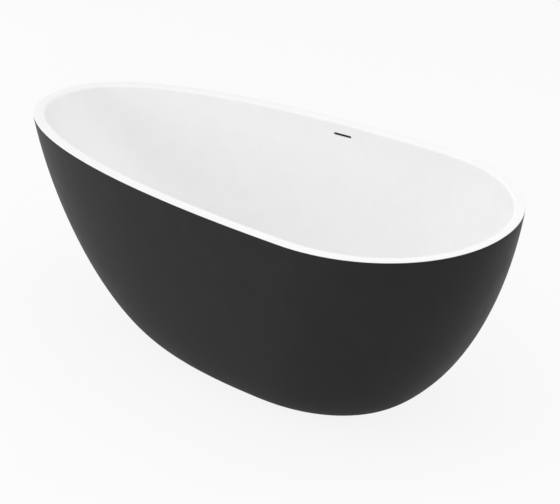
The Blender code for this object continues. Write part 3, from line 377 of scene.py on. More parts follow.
class Shells:
    """The surfaces of the skirt and the basin, at a set of angles round the tub."""

    def __init__(self, form, angles):
        self.form = form
        self.along, self.across = np.cos(angles), np.sin(angles)
        self.angles = angles

    def egg(self, length, width, widest_x, powers, middle_x=0.0):
        """Two half superellipses that meet at the widest point."""
        wide = self.along > 0
        reach = np.where(wide, length / 2 - widest_x, length / 2 + widest_x)
        power = np.where(wide, powers[1], powers[0])
        x = middle_x + widest_x + reach * signed_power(self.along, 2 / power)
        return np.column_stack([x, width / 2 * signed_power(self.across, 2 / power)])

    def blended(self, narrow, side, wide):
        """A value that runs smoothly from the sides to each end."""
        return side + (np.where(self.along < 0, narrow, wide) - side) * self.along ** 2

    def rim(self, distance=0.0):
        form = self.form
        powers = (form.narrow_power, form.wide_power)
        return inset(self.egg(form.length, form.width, form.widest_x, powers), distance)

    def foot(self, distance=0.0):
        form = self.form
        powers = (form.foot_narrow_power, form.foot_wide_power)
        return inset(self.egg(form.foot_length, form.foot_width, form.foot_widest_x, powers, form.foot_x),
                     distance)

    def wall(self, low, high, rise, powers, bulges, height):
        """A ring of a wall that sweeps from one outline out to another."""
        bulge = self.blended(*bulges)
        bowed = math.sqrt(max(0.0, 1 - (1 - rise) ** 2))
        share = ((1 - bulge) * rise + bulge * bowed) ** self.blended(*powers)
        return level(low + (high - low) * share[:, None], height)

    def skirt(self, height):
        form = self.form
        rise = (height - form.band_height) / (form.height - form.skirt_edge - form.band_height)
        return self.wall(self.foot(), self.rim(), rise, form.skirt_powers, form.skirt_bulges, height)

    def rim_width(self, less=0.0):
        form = self.form
        return self.blended(form.rim_width_narrow, form.rim_width_side, form.rim_width_wide) - less

    def basin(self, height):
        form = self.form
        rise = (height - form.height + form.basin_depth) / form.basin_depth
        low = self.egg(form.floor_length, form.floor_width, form.floor_widest_x,
                       (form.narrow_power, form.wide_power), form.floor_x)
        return self.wall(low, self.rim(self.rim_width()), rise, (1, 1, 1), form.basin_bulges, height)

    def half_width(self, ring, x):
        """Where the +Y side of a ring crosses a given x."""
        upper = ring[ring[:, 1] > 0]
        order = np.argsort(upper[:, 0])
        return float(np.interp(x, upper[order, 0], upper[order, 1]))

    def slot_frame(self):
        """Axes at the overflow slot: X along the wall, Y outwards through it, Z up the wall."""
        form = self.form
        slot_z = form.height - form.slot_depth

        def wall(dx, dz):
            return Vector((dx, self.half_width(self.basin(slot_z + dz), form.slot_x + dx), dz))
        reach = form.slot_length / 2
        along = (wall(reach, 0) - wall(-reach, 0)).normalized()
        up = wall(0, reach / 2) - wall(0, -reach)
        outwards = up.cross(along).normalized()
        place = Matrix((along, outwards, along.cross(outwards))).transposed().to_4x4()
        place.translation = (form.slot_x, wall(0, 0).y, slot_z)
        return place


def eased(bottom, top, steps, first=0):
    """Heights that lie closer together near the bottom, where a wall turns fastest."""
    return [bottom + (top - bottom) * (1 - math.cos(math.pi / 2 * step / steps))
            for step in range(first, steps + 1)]


def skirt_shape(form, shells):
    """The skirt's sheet: base flange, foot band, swept wall and upright top edge."""
    top, low = form.height - form.rim_lip - form.seam, form.skirt_clear
    edge, fine, soft, inner = form.edge_radius, form.fine_edge, form.band_fillet, form.skirt_wall
    bend = form.height - form.skirt_edge
    heights = eased(form.band_height, bend, WALL_STEPS, 3)
    wall = [shells.skirt(z) for z in heights[:-1] + [bend - soft]]
    foot_edge = level(shells.foot(edge), low)
    foot_side = level(shells.foot(), low + edge)
    band_top = level(shells.foot(), form.band_height - soft)
    strip = level(shells.rim(), top - fine)
    rows = [level(shells.foot(form.flange_width), low), foot_edge]
    rows += bent(foot_edge, level(shells.foot(), low), foot_side, EDGE_STEPS)
    rows += [foot_side, band_top]
    rows += bent(band_top, level(shells.foot(), form.band_height), wall[0], EDGE_STEPS)
    rows += wall
    rows += bent(wall[-1], level(shells.rim(), bend), strip, EDGE_STEPS)
    rows.append(strip)
    rows += bent(strip, level(shells.rim(), top), level(shells.rim(fine), top), EDGE_STEPS)
    rows += [level(shells.rim(fine), top), level(shells.rim(inner), top), level(shells.rim(inner), bend)]
    rows += thickened(wall, inner)[::-1][1:]
    rows += [level(shells.foot(inner), form.band_height + inner / 2),
             level(shells.foot(inner), low + inner), level(shells.foot(form.flange_width), low + inner)]
    return loft(rows, closed=True)


def basin_shape(form, shells):
    """The basin's sheet: flat rim, rolled edge, bowed wall, falling floor and dished drain."""
    top, edge, fine, wall = form.height, form.edge_radius, form.fine_edge, form.basin_wall
    soft = form.recess_edge
    floor_edge = top - form.basin_depth
    floor = floor_edge - form.floor_fall
    dish = floor - form.recess_depth
    roll = form.rim_roll
    lip, reach = top - form.rim_lip, form.skirt_wall + form.seam
    under = level(shells.rim(fine), lip)
    side_low = level(shells.rim(), lip + fine)
    side_high = level(shells.rim(), top - edge)
    rows = [level(shells.rim(reach), top - wall), level(shells.rim(reach), lip), under]
    rows += bent(under, level(shells.rim(), lip), side_low, EDGE_STEPS)
    rows += [side_low, side_high]
    rows += bent(side_high, level(shells.rim(), top), level(shells.rim(edge), top), 2 * EDGE_STEPS)
    rows.append(level(shells.rim(edge), top))
    flat_end = level(shells.rim(shells.rim_width(roll)), top)
    rows.append(flat_end)
    face = [shells.basin(z) for z in eased(floor_edge, top - roll, WALL_STEPS)[::-1]]
    curve = bent(flat_end, level(shells.rim(shells.rim_width()), top), face[0], ROLL_STEPS)
    rows += curve + face

    def drain(radius, height):
        return circle(radius, height, len(shells.angles)) + np.array([form.slot_x, 0.0, 0.0])
    around_drain = drain(form.recess_radius + soft, floor)
    rows += [face[-1] + (around_drain - face[-1]) * step / FLOOR_STEPS for step in range(1, FLOOR_STEPS)]
    rows.append(around_drain)
    rows += bent(around_drain, drain(form.recess_radius, floor),
                 drain(form.recess_radius - soft / 2, floor - soft), EDGE_STEPS)
    rows += [drain(form.recess_floor_radius, dish), drain(form.drain_radius + soft / 2, dish)]
    rows += bent(rows[-1], drain(form.drain_radius, dish), drain(form.drain_radius, dish - soft / 2),
                 EDGE_STEPS)
    rows += [drain(form.drain_radius, dish - soft / 2), drain(form.drain_radius, dish - wall),
             drain(form.recess_radius, dish - wall), drain(form.recess_radius + wall, floor - wall)]
    back = thickened([flat_end] + curve + face, wall)
    rows += back[::-1]
    return loft(rows, closed=True)


def slot_cutter(form):
    """The overflow slot, flared where it meets the basin's face; local Z runs out through the wall."""
    half_x, half_y = form.slot_length / 2, form.slot_height / 2
    rings = []
    for depth, grow in ((-0.004, 0.0006), (-0.0002, 0.0005), (0.0002, 0.0002), (0.0006, 0.0),
                        (3 * form.basin_wall, 0.0)):
        rings.append(level(outline(half_x + grow, half_y + grow, (half_y + grow) * 0.99), depth))
    return loft(rings)


# ---------------------------------------------------------------- effects shared by the finishes

def add_node(tree, kind, **values):
    """A shader node; values are its properties, or its input sockets by name or number."""
    made = tree.nodes.new("ShaderNode" + kind)
    for key, value in values.items():
        if key.startswith("in_"):
            label = key[3:]
            socket = made.inputs[int(label) if label.isdigit() else label.replace("_", " ")]
            if isinstance(value, bpy.types.NodeSocket):
                tree.links.new(value, socket)
            else:
                socket.default_value = value
        else:
            setattr(made, key, value)
    return made


def calculated(tree, operation, first, second=0.0):
    return add_node(tree, "Math", operation=operation, in_0=first, in_1=second).outputs[0]


def ranged(tree, value, low, high, start=0.0, end=1.0):
    """A value carried from one range to another, and held inside it."""
    made = add_node(tree, "MapRange", in_Value=value)
    for name, number_in in (("From Min", start), ("From Max", end), ("To Min", low), ("To Max", high)):
        if isinstance(number_in, bpy.types.NodeSocket):
            tree.links.new(number_in, made.inputs[name])
        else:
            made.inputs[name].default_value = number_in
    return made.outputs[0]


def mixed(tree, share, first, second):
    """A colour between two colours, or colour sockets."""
    made = add_node(tree, "Mix", data_type="RGBA")
    for socket, value in ((made.inputs[0], share), (made.inputs[6], first), (made.inputs[7], second)):
        if isinstance(value, bpy.types.NodeSocket):
            tree.links.new(value, socket)
        elif isinstance(value, float):
            socket.default_value = value
        else:
            socket.default_value = (*value, 1.0)
    return made.outputs[2]


def effect(name, inputs, outputs, make):
    """A shader node group with named inputs and outputs, built once."""
    tree = bpy.data.node_groups.get(name)
    if tree:
        return tree
    tree = bpy.data.node_groups.new(name, "ShaderNodeTree")
    for label, value in inputs.items():
        socket = tree.interface.new_socket(label, in_out="INPUT", socket_type="NodeSocketFloat")
        socket.default_value = value
    for label in outputs:
        tree.interface.new_socket(label, in_out="OUTPUT", socket_type="NodeSocketFloat")
    entry = tree.nodes.new("NodeGroupInput")
    leave = tree.nodes.new("NodeGroupOutput")
    place = add_node(tree, "TexCoord").outputs["Object"]
    for label, value in make(tree, place, entry.outputs).items():
        tree.links.new(value, leave.inputs[label])
    return tree


def fine_grain():
    """Small even grain, as a mould or a mill leaves it."""
    def make(tree, place, given):
        small = add_node(tree, "TexNoise", in_Vector=place, in_Scale=given["Scale"], in_Detail=3.0,
                         in_Roughness=0.6).outputs[0]
        rarer = calculated(tree, "MULTIPLY", given["Scale"], 0.13)
        broad = add_node(tree, "TexNoise", in_Vector=place, in_Scale=rarer, in_Detail=2.0).outputs[0]
        return {"Height": small, "Mask": broad}
    return effect("Fine Grain", {"Scale": 900.0}, ("Height", "Mask"), make)


def slow_ripple():
    """The faint unevenness of a formed sheet, and the soft patches that cleaning leaves on it."""
    def make(tree, place, given):
        wave = add_node(tree, "TexNoise", in_Vector=place, in_Scale=given["Scale"], in_Detail=1.0,
                        in_Roughness=0.4).outputs[0]
        closer = calculated(tree, "MULTIPLY", given["Scale"], 3.7)
        patch = add_node(tree, "TexNoise", in_Vector=place, in_Scale=closer, in_Detail=5.0,
                         in_Distortion=0.6).outputs[0]
        return {"Height": wave, "Mask": ranged(tree, patch, 0.0, 1.0, 0.35, 0.65)}
    return effect("Slow Ripple", {"Scale": 4.0}, ("Height", "Mask"), make)


def spangle():
    """Crystals of hot-dip zinc, each with its own tone, and the dull film over them."""
    def make(tree, place, given):
        cells = add_node(tree, "TexVoronoi", in_Vector=place, in_Scale=given["Scale"], in_Randomness=1.0)
        film = add_node(tree, "TexNoise", in_Vector=place, in_Scale=24.0, in_Detail=4.0).outputs[0]
        tone = add_node(tree, "SeparateColor", in_0=cells.outputs["Color"]).outputs[0]
        return {"Tone": tone, "Film": ranged(tree, film, 0.0, 1.0, 0.35, 0.7)}
    return effect("Spangle", {"Scale": 190.0}, ("Tone", "Film"), make)


def turning_marks():
    """Fine rings round an upright axis, as a lathe or a die leaves them."""
    def make(tree, place, given):
        rings = add_node(tree, "TexWave", bands_direction="Z", in_Vector=place, in_Scale=given["Scale"],
                         in_Distortion=1.2, in_Detail=2.0).outputs[1]
        blotch = add_node(tree, "TexNoise", in_Vector=place, in_Scale=160.0, in_Detail=4.0).outputs[0]
        return {"Height": rings, "Mask": ranged(tree, blotch, 0.0, 1.0, 0.35, 0.65)}
    return effect("Turning Marks", {"Scale": 600.0}, ("Height", "Mask"), make)


def wood_grain():
    """Long fibres along X with darker late wood."""
    def make(tree, place, given):
        long = add_node(tree, "Mapping", in_Vector=place, in_Scale=(1.0, 14.0, 26.0)).outputs[0]
        bands = add_node(tree, "TexNoise", in_Vector=long, in_Scale=given["Scale"], in_Detail=6.0,
                         in_Distortion=0.8).outputs[0]
        finer = calculated(tree, "MULTIPLY", given["Scale"], 9.0)
        fibres = add_node(tree, "TexNoise", in_Vector=long, in_Scale=finer, in_Detail=3.0).outputs[0]
        return {"Late": ranged(tree, bands, 0.0, 1.0, 0.4, 0.62), "Fibre": fibres}
    return effect("Wood Grain", {"Scale": 5.0}, ("Late", "Fibre"), make)


def rubbed_edges():
    """Where edges are rubbed brighter by handling."""
    def make(tree, place, given):
        corner = add_node(tree, "NewGeometry").outputs["Pointiness"]
        edge = ranged(tree, corner, 0.0, 1.0, 0.53, 0.60)
        broken = add_node(tree, "TexNoise", in_Vector=place, in_Scale=110.0, in_Detail=5.0).outputs[0]
        worn = calculated(tree, "MULTIPLY", edge, ranged(tree, broken, 0.0, 1.0, 0.4, 0.6))
        return {"Mask": calculated(tree, "MULTIPLY", worn, given["Amount"])}
    return effect("Rubbed Edges", {"Amount": 0.6}, ("Mask",), make)


def settled_dust():
    """Pale dust on faces that look up."""
    def make(tree, place, given):
        facing = add_node(tree, "SeparateXYZ", in_0=add_node(tree, "NewGeometry").outputs["Normal"])
        upward = ranged(tree, facing.outputs[2], 0.0, 1.0, 0.45, 1.0)
        patch = add_node(tree, "TexNoise", in_Vector=place, in_Scale=38.0, in_Detail=6.0).outputs[0]
        loose = calculated(tree, "MULTIPLY", upward, ranged(tree, patch, 0.2, 1.0, 0.38, 0.66))
        return {"Mask": calculated(tree, "MULTIPLY", loose, given["Amount"])}
    return effect("Settled Dust", {"Amount": 0.3}, ("Mask",), make)


def place_effect(tree, group_tree, **values):
    made = tree.nodes.new("ShaderNodeGroup")
    made.node_tree = group_tree
    for label, value in values.items():
        made.inputs[label].default_value = value
    return made.outputs


# ---------------------------------------------------------------- finishes

DUST = (0.52, 0.50, 0.47)
FINISH_NAME = "fine_"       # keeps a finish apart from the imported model's plain material of that slot


def blank_finish(name, roughness, metallic=0.0, specular=0.5):
    """A material with the values that are the same all over it, and its Principled shader."""
    made = bpy.data.materials.new(FINISH_NAME + name)
    made.use_nodes = True
    shader = made.node_tree.nodes["Principled BSDF"]
    shader.inputs["Roughness"].default_value = roughness
    shader.inputs["Metallic"].default_value = metallic
    shader.inputs["Specular IOR Level"].default_value = specular
    return made, made.node_tree, shader


def tinted(tone, share):
    """A colour made lighter or darker by a share."""
    return tuple(min(1.0, part * share) for part in tone)


def coloured(tree, shader, socket):
    tree.links.new(socket, shader.inputs["Base Color"])


def roughened(tree, shader, mask, low, high):
    tree.links.new(ranged(tree, mask, low, high), shader.inputs["Roughness"])


def bumped(tree, shader, height, distance):
    bump = add_node(tree, "Bump", in_Height=height, in_Distance=distance)
    tree.links.new(bump.outputs[0], shader.inputs["Normal"])


def bumped_twice(tree, shader, broad, broad_distance, fine, fine_distance):
    """A broad bump with a finer one on it."""
    under = add_node(tree, "Bump", in_Height=broad, in_Distance=broad_distance)
    over = add_node(tree, "Bump", in_Height=fine, in_Distance=fine_distance, in_Normal=under.outputs[0])
    tree.links.new(over.outputs[0], shader.inputs["Normal"])


def white_acrylic(tone):
    made, tree, shader = blank_finish("white_acrylic", 0.32, specular=0.25)
    ripple = place_effect(tree, slow_ripple(), Scale=4.0)
    grain = place_effect(tree, fine_grain(), Scale=1400.0)
    coloured(tree, shader, mixed(tree, ripple["Mask"], tone, tinted(tone, 0.985)))
    roughened(tree, shader, ripple["Mask"], 0.29, 0.36)
    bumped_twice(tree, shader, ripple["Height"], 0.0012, grain["Height"], 0.000004)
    return made


def charcoal_acrylic(tone):
    made, tree, shader = blank_finish("charcoal_acrylic", 0.42, specular=0.06)
    ripple = place_effect(tree, slow_ripple(), Scale=3.0)
    grain = place_effect(tree, fine_grain(), Scale=1100.0)
    dust = place_effect(tree, settled_dust(), Amount=0.03)
    cloudy = mixed(tree, ripple["Mask"], tinted(tone, 0.96), tinted(tone, 1.05))
    coloured(tree, shader, mixed(tree, dust["Mask"], cloudy, DUST))
    roughened(tree, shader, ripple["Mask"], 0.39, 0.45)
    bumped_twice(tree, shader, ripple["Height"], 0.0010, grain["Height"], 0.00003)
    return made


def plywood(tone):
    made, tree, shader = blank_finish("plywood", 0.7, specular=0.3)
    wood = place_effect(tree, wood_grain(), Scale=5.0)
    dust = place_effect(tree, settled_dust(), Amount=0.25)
    grained = mixed(tree, wood["Late"], tinted(tone, 1.12), tinted(tone, 0.68))
    coloured(tree, shader, mixed(tree, dust["Mask"], grained, DUST))
    roughened(tree, shader, wood["Fibre"], 0.6, 0.85)
    bumped(tree, shader, wood["Fibre"], 0.0004)
    return made


def galvanised_steel(tone):
    made, tree, shader = blank_finish("galvanised_steel", 0.45, metallic=1.0)
    zinc = place_effect(tree, spangle(), Scale=190.0)
    dust = place_effect(tree, settled_dust(), Amount=0.35)
    cells = mixed(tree, zinc["Tone"], tinted(tone, 0.82), tinted(tone, 1.18))
    filmed = mixed(tree, zinc["Film"], cells, tinted(tone, 0.9))
    coloured(tree, shader, mixed(tree, dust["Mask"], filmed, DUST))
    tree.links.new(ranged(tree, dust["Mask"], 1.0, 0.0), shader.inputs["Metallic"])
    roughened(tree, shader, zinc["Tone"], 0.36, 0.56)
    bumped(tree, shader, zinc["Tone"], 0.00006)
    return made


def machined_metal(name, tone, low, high, marks, depth, worn):
    """Turned and plated metal: fine rings, patches of film and rubbed edges."""
    made, tree, shader = blank_finish(name, low, metallic=1.0)
    rings = place_effect(tree, turning_marks(), Scale=marks)
    edges = place_effect(tree, rubbed_edges(), Amount=worn)
    filmed = mixed(tree, rings["Mask"], tone, tinted(tone, 0.93))
    coloured(tree, shader, mixed(tree, edges["Mask"], filmed, tinted(tone, 1.15)))
    roughened(tree, shader, rings["Mask"], low, high)
    bumped(tree, shader, rings["Height"], depth)
    return made


def moulded_plastic(name, tone, low, high, grain_scale, grain_depth, worn, dusty):
    """Moulded plastic or rubber: fine grain, slow changes of gloss, rubbed edges and a little dust."""
    made, tree, shader = blank_finish(name, low, specular=0.45)
    grain = place_effect(tree, fine_grain(), Scale=grain_scale)
    edges = place_effect(tree, rubbed_edges(), Amount=worn)
    dust = place_effect(tree, settled_dust(), Amount=dusty)
    body = mixed(tree, grain["Mask"], tinted(tone, 0.92), tinted(tone, 1.08))
    rubbed = mixed(tree, edges["Mask"], body, tinted(tone, 1.5))
    coloured(tree, shader, mixed(tree, dust["Mask"], rubbed, DUST))
    roughened(tree, shader, grain["Mask"], low, high)
    bumped(tree, shader, grain["Height"], grain_depth)
    return made


METALS = {       # roughness at its lowest and highest, scale and depth of the marks, worn edges
    "zinc_fixings": (0.30, 0.46, 700.0, 0.00002, 0.6),
    "chrome": (0.06, 0.13, 250.0, 0.000001, 0.0),
    "spring_steel": (0.26, 0.38, 900.0, 0.00001, 0.3),
}
MOULDED = {      # roughness at its lowest and highest, scale and depth of the grain, wear, dust
    "black_plastic": (0.42, 0.55, 1500.0, 0.00004, 0.4, 0.15),
    "grey_plastic": (0.45, 0.6, 1200.0, 0.00003, 0.4, 0.15),
    "white_plastic": (0.38, 0.5, 1500.0, 0.00002, 0.0, 0.1),
    "black_rubber": (0.7, 0.9, 800.0, 0.00008, 0.2, 0.3),
    "sealant": (0.5, 0.65, 300.0, 0.0003, 0.0, 0.1),
}
SHEETS = {"white_acrylic": white_acrylic, "charcoal_acrylic": charcoal_acrylic, "plywood": plywood,
          "galvanised_steel": galvanised_steel}


def finish(slot):
    """The finish of a material slot, made when it is first asked for."""
    made = bpy.data.materials.get(FINISH_NAME + slot)
    if made:
        return made
    tone = getattr(bpy.context.scene.bathtub_finishes, slot)
    if slot in METALS:
        return machined_metal(slot, tone, *METALS[slot])
    if slot in MOULDED:
        return moulded_plastic(slot, tone, *MOULDED[slot])
    return SHEETS[slot](tone)


# ---------------------------------------------------------------- fittings

GRIP = 0.0003           # radial, between a piece and the hole it passes through
SPINDLE = 0.006         # a foot's thread, outside
FIXING = 0.0025         # a screw's shank
SPIGOT = 0.0080
SPIGOT_HOLE = 0.0065
HOSE_WALL = 0.0025
HOSE_OUTSIDE = SPIGOT + GRIP + HOSE_WALL
HOSE_MIDDLE_Z = 0.300   # where the hose passes between basin and skirt
HOSE_BEND_Y = 0.175
HOSE_FALL = 0.333
HOSE_LEAN = 0.45
HOSE_KNOTS = 9
SPOUT_BACK = 0.019      # the spout's middle, from the basin's inner face
SPOUT_LENGTH = 0.022
CHANNEL_DOWN = 0.026
CHANNEL_LIP = 0.004
WASTE_OUTSIDE = 0.0285
INLET_Z = 0.105
INLET_LENGTH = 0.026


def middle_of(node):
    low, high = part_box(node)
    return (low + high) / 2


def threaded(radius, depth, pitch, low, high, sides):
    """Rings of a rod with a thread cut in it, which runs out at both ends."""
    rings = []
    turns = np.linspace(0.0, 2.0 * math.pi, sides, endpoint=False)
    count = max(8, round((high - low) / pitch * THREAD_RINGS))
    for height in np.linspace(low, high, count + 1):
        phase = ((height - low) / pitch - turns / (2 * math.pi)) % 1.0
        flank = np.clip(np.abs(2.0 * phase - 1.0) * 1.5 - 0.25, 0.0, 1.0)
        fade = min(1.0, (height - low) / pitch, (high - height) / pitch)
        reach = radius - depth * (1.0 - flank * fade)
        rings.append(np.column_stack([reach * np.cos(turns), reach * np.sin(turns),
                                      np.full(sides, height)]))
    return rings


def foot_spindle(fittings, place, low, high):
    """A threaded spindle with a turned-down point at each end."""
    root = SPINDLE - fittings.thread_depth
    sides = 24
    rings = [circle(root - 0.0008, low, sides), circle(root, low + 0.0008, sides)]
    rings += threaded(SPINDLE, fittings.thread_depth, fittings.thread_pitch, low + 0.0012, high - 0.0012,
                      sides)
    rings += [circle(root, high - 0.0008, sides), circle(root - 0.0008, high, sides)]
    return placed(loft(rings), at(place.x, place.y))


def foot_pad(place, top):
    """A round rubber pad with a moulded shoulder and a socket for its spindle."""
    bore = SPINDLE + GRIP
    profile = [(0.0205, 0.0), (0.022, 0.0015), (0.022, 0.006), (0.0195, 0.0078), (0.0128, 0.0145),
               (0.012, top), (bore, top), (bore, 0.0082)]
    return placed(turned([(0.004, 0.0)] + profile + [(0.004, 0.008)], 72, 0.0008), at(place.x, place.y))


def hexagon(corner, limit, height, sides=72):
    """A hexagonal ring, cut down to a circle of the limit's radius where that is smaller."""
    turns = np.linspace(0.0, 2.0 * math.pi, sides, endpoint=False)
    flat = corner * math.cos(math.pi / 6)
    off_flat = turns % (math.pi / 3) - math.pi / 6
    reach = np.minimum(flat / np.cos(off_flat), limit)
    return np.column_stack([reach * np.cos(turns), reach * np.sin(turns), np.full(sides, height)])


def lock_nut(place, low, high, corner):
    """A hexagon nut, chamfered on both faces, with a countersunk bore."""
    face, bore, chamfer = corner * math.cos(math.pi / 6) * 0.985, SPINDLE + GRIP, 0.0007
    rings = [circle(bore, low + chamfer, 72), circle(bore + chamfer, low, 72),
             hexagon(corner, face, low), hexagon(corner, corner, low + chamfer),
             hexagon(corner, corner, high - chamfer), hexagon(corner, face, high),
             circle(bore + chamfer, high, 72), circle(bore, high - chamfer, 72)]
    return placed(loft(rings, closed=True), at(place.x, place.y))


def foot_bush(place, low, high):
    """A turned bush with chamfered mouths, welded under its cross member."""
    bore = SPINDLE + GRIP
    profile = [(0.011, low), (0.011, high), (bore, high), (bore, low)]
    return placed(turned_ring(profile, 64, 0.0008), at(place.x, place.y))


def cross_recess(height, depth, upwards):
    """Two tapered blades that cut a cross recess into a screw's head."""
    blades = []
    for turn in (0.0, math.pi / 2):
        rings = []
        for share, z in ((1.0, 0.0006), (1.0, 0.0), (0.45, -depth)):
            blade = outline(0.0026 * share, 0.00055 * share, 0.0002, 3)
            rings.append(level(blade, z))
        blades.append(placed(loft(rings), Matrix.Rotation(turn, 4, "Z")))
    flip = Matrix.Identity(4) if upwards else Matrix.Rotation(math.pi, 4, "X")
    return [("DIFFERENCE", placed(blade, at(0, 0, height) @ flip)) for blade in blades]


def fixing_screw(name, node, upwards, slot_finish):
    """A pan-head screw with a cross recess and a threaded shank."""
    low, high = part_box(node)
    head, tall = 0.0048, 0.0025
    length = high.z - low.z - tall
    shank = threaded(FIXING, 0.0005, 0.0011, 0.0002, length - 0.0001, 24)[::-1]
    rings = [circle(FIXING - 0.0009, length, 24)] + shank
    rings += [circle(FIXING, 0.0, 24), circle(head - 0.0003, 0.0, 24), circle(head, -0.0003, 24)]
    rings += [circle(head * reach, -tall * rise, 24)
              for reach, rise in ((1.0, 0.35), (0.97, 0.55), (0.88, 0.78), (0.68, 0.94), (0.35, 1.0))]
    shape = loft(rings)
    centre = (low + high) / 2
    turn = Matrix.Rotation(math.pi, 4, "X") if upwards else Matrix.Identity(4)
    seat = high.z - tall if upwards else low.z + tall
    tools = [(kind, placed(blade, at(centre.x, centre.y) @ at(0, 0, seat)))
             for kind, blade in cross_recess(tall if upwards else -tall, 0.0014, upwards)]
    return piece(name, placed(shape, at(centre.x, centre.y, seat) @ turn), "tub", [node],
                 slot_finish, tools)


def ribbed_ring(radius, depth, ribs, height, sides):
    """A round ring with flat-topped grip ribs."""
    turns = np.linspace(0.0, 2.0 * math.pi, sides, endpoint=False)
    wave = np.clip(np.cos(turns * ribs) * 1.6 + 0.2, -1.0, 1.0)
    reach = radius - depth * (1.0 - wave) / 2
    return np.column_stack([reach * np.cos(turns), reach * np.sin(turns), np.full(sides, height)])


def tail_nut(fittings, low, high):
    """The moulded nut that holds the outlet tail, ribbed for a hand's grip."""
    sides = 12 * fittings.nut_ribs
    outer, neck, bore, lip = 0.0290, 0.0203, 0.0218, 0.003
    depth, soft = 0.0016, 0.0008
    rings = [circle(neck, low + soft, sides), circle(neck + soft, low, sides),
             circle(outer - 2 * soft - depth, low, sides), circle(outer - depth, low + soft, sides)]
    rings += [ribbed_ring(outer, depth, fittings.nut_ribs, z, sides)
              for z in np.linspace(low + 2.5 * soft, high - 4 * soft, 5)]
    rings += [circle(outer - depth, high - 2 * soft, sides), circle(outer - 2 * depth, high, sides),
              circle(bore + soft, high, sides), circle(bore, high - soft, sides),
              circle(bore, low + lip, sides), circle(neck, low + lip, sides)]
    return loft(rings, closed=True)


def flange_tools(bottom):
    """The spokes and hub in the flange's throat, and the hub's bore for the plug's cartridge."""
    rings = [level(outline(0.0225, 0.0015, 0.0006, 4), z) for z in (bottom + 0.0003, bottom + 0.0077)]
    spokes = [placed(loft(rings), Matrix.Rotation(turn, 4, "Z")) for turn in (0.0, math.pi / 2)]
    hub = turned([(0.004, bottom), (0.0125, bottom), (0.0125, bottom + 0.008), (0.004, bottom + 0.008)], 64,
                 0.0006)
    bore = turned([(0.0098, bottom - 0.008), (0.0098, bottom + 0.016)], 64)
    return [("UNION", spoke) for spoke in spokes] + [("UNION", hub), ("DIFFERENCE", bore)]


def hose_path(shells):
    """Down from the spout, between basin and skirt, and level into the waste's spigot."""
    place = shells.slot_frame()
    drain_x = shells.form.slot_x
    down = -place.col[2].xyz
    start = place @ Vector((0, SPOUT_BACK, -CHANNEL_DOWN - CHANNEL_LIP - TOUCH))
    leave = start + down * SPOUT_LENGTH
    between = (shells.half_width(shells.basin(HOSE_MIDDLE_Z), drain_x)
               + shells.half_width(shells.skirt(HOSE_MIDDLE_Z), drain_x)) / 2
    middle = Vector((drain_x, between, HOSE_MIDDLE_Z))
    bend = Vector((drain_x, HOSE_BEND_Y, INLET_Z))
    arrive = Vector((drain_x, WASTE_OUTSIDE + INLET_LENGTH + 3 * TOUCH, INLET_Z))
    end = Vector((drain_x, WASTE_OUTSIDE + TOUCH, INLET_Z))
    towards = (middle - leave).normalized()
    fall = (leave - middle).length * HOSE_FALL
    lean = (bend - middle).length * HOSE_LEAN
    upper = interpolate_bezier(leave, leave + down * fall, middle - towards * fall, middle, HOSE_KNOTS)
    lower = interpolate_bezier(middle, middle + towards * lean, bend + Vector((0, lean, 0)), bend,
                               HOSE_KNOTS)
    return [start, *upper, *lower[1:], arrive, end]


def resampled(path, step):
    """Points along a path at even distances, on a smooth curve through its knots."""
    knots = np.array([tuple(point) for point in path])
    lengths = np.concatenate([[0.0], np.cumsum(np.linalg.norm(np.diff(knots, axis=0), axis=1))])
    count = round(lengths[-1] / step)
    places = np.linspace(0.0, lengths[-1], count + 1)
    tangents = np.gradient(knots, lengths, axis=0)
    made = []
    for place in places:
        knot = min(int(np.searchsorted(lengths, place, side="right")) - 1, len(knots) - 2)
        span = lengths[knot + 1] - lengths[knot]
        t = (place - lengths[knot]) / span
        point = ((2 * t ** 3 - 3 * t ** 2 + 1) * knots[knot]
                 + (3 * t ** 2 - 2 * t ** 3) * knots[knot + 1]
                 + (t ** 3 - 2 * t ** 2 + t) * span * tangents[knot]
                 + (t ** 3 - t ** 2) * span * tangents[knot + 1])
        made.append(Vector(point))
    return made, places


def ribbed_hose(fittings, path):
    """A flexible hose, ribbed between two plain cuffs, with its bore."""
    points, places = resampled(path, fittings.hose_rib / 6)
    total = places[-1]
    radii = []
    for place in places:
        inside = min(place, total - place) - fittings.hose_cuff
        rise = min(1.0, max(0.0, inside / fittings.hose_rib))
        wave = (1 - math.cos(2 * math.pi * (place - fittings.hose_cuff) / fittings.hose_rib)) / 2
        radii.append(HOSE_OUTSIDE - fittings.hose_rib_depth * rise * wave)
    outside = tube(points, radii, 28)
    bore = tube(points, [SPIGOT + GRIP + 0.0001] * len(points), 28)
    return loft(outside + bore[::-1], closed=True)


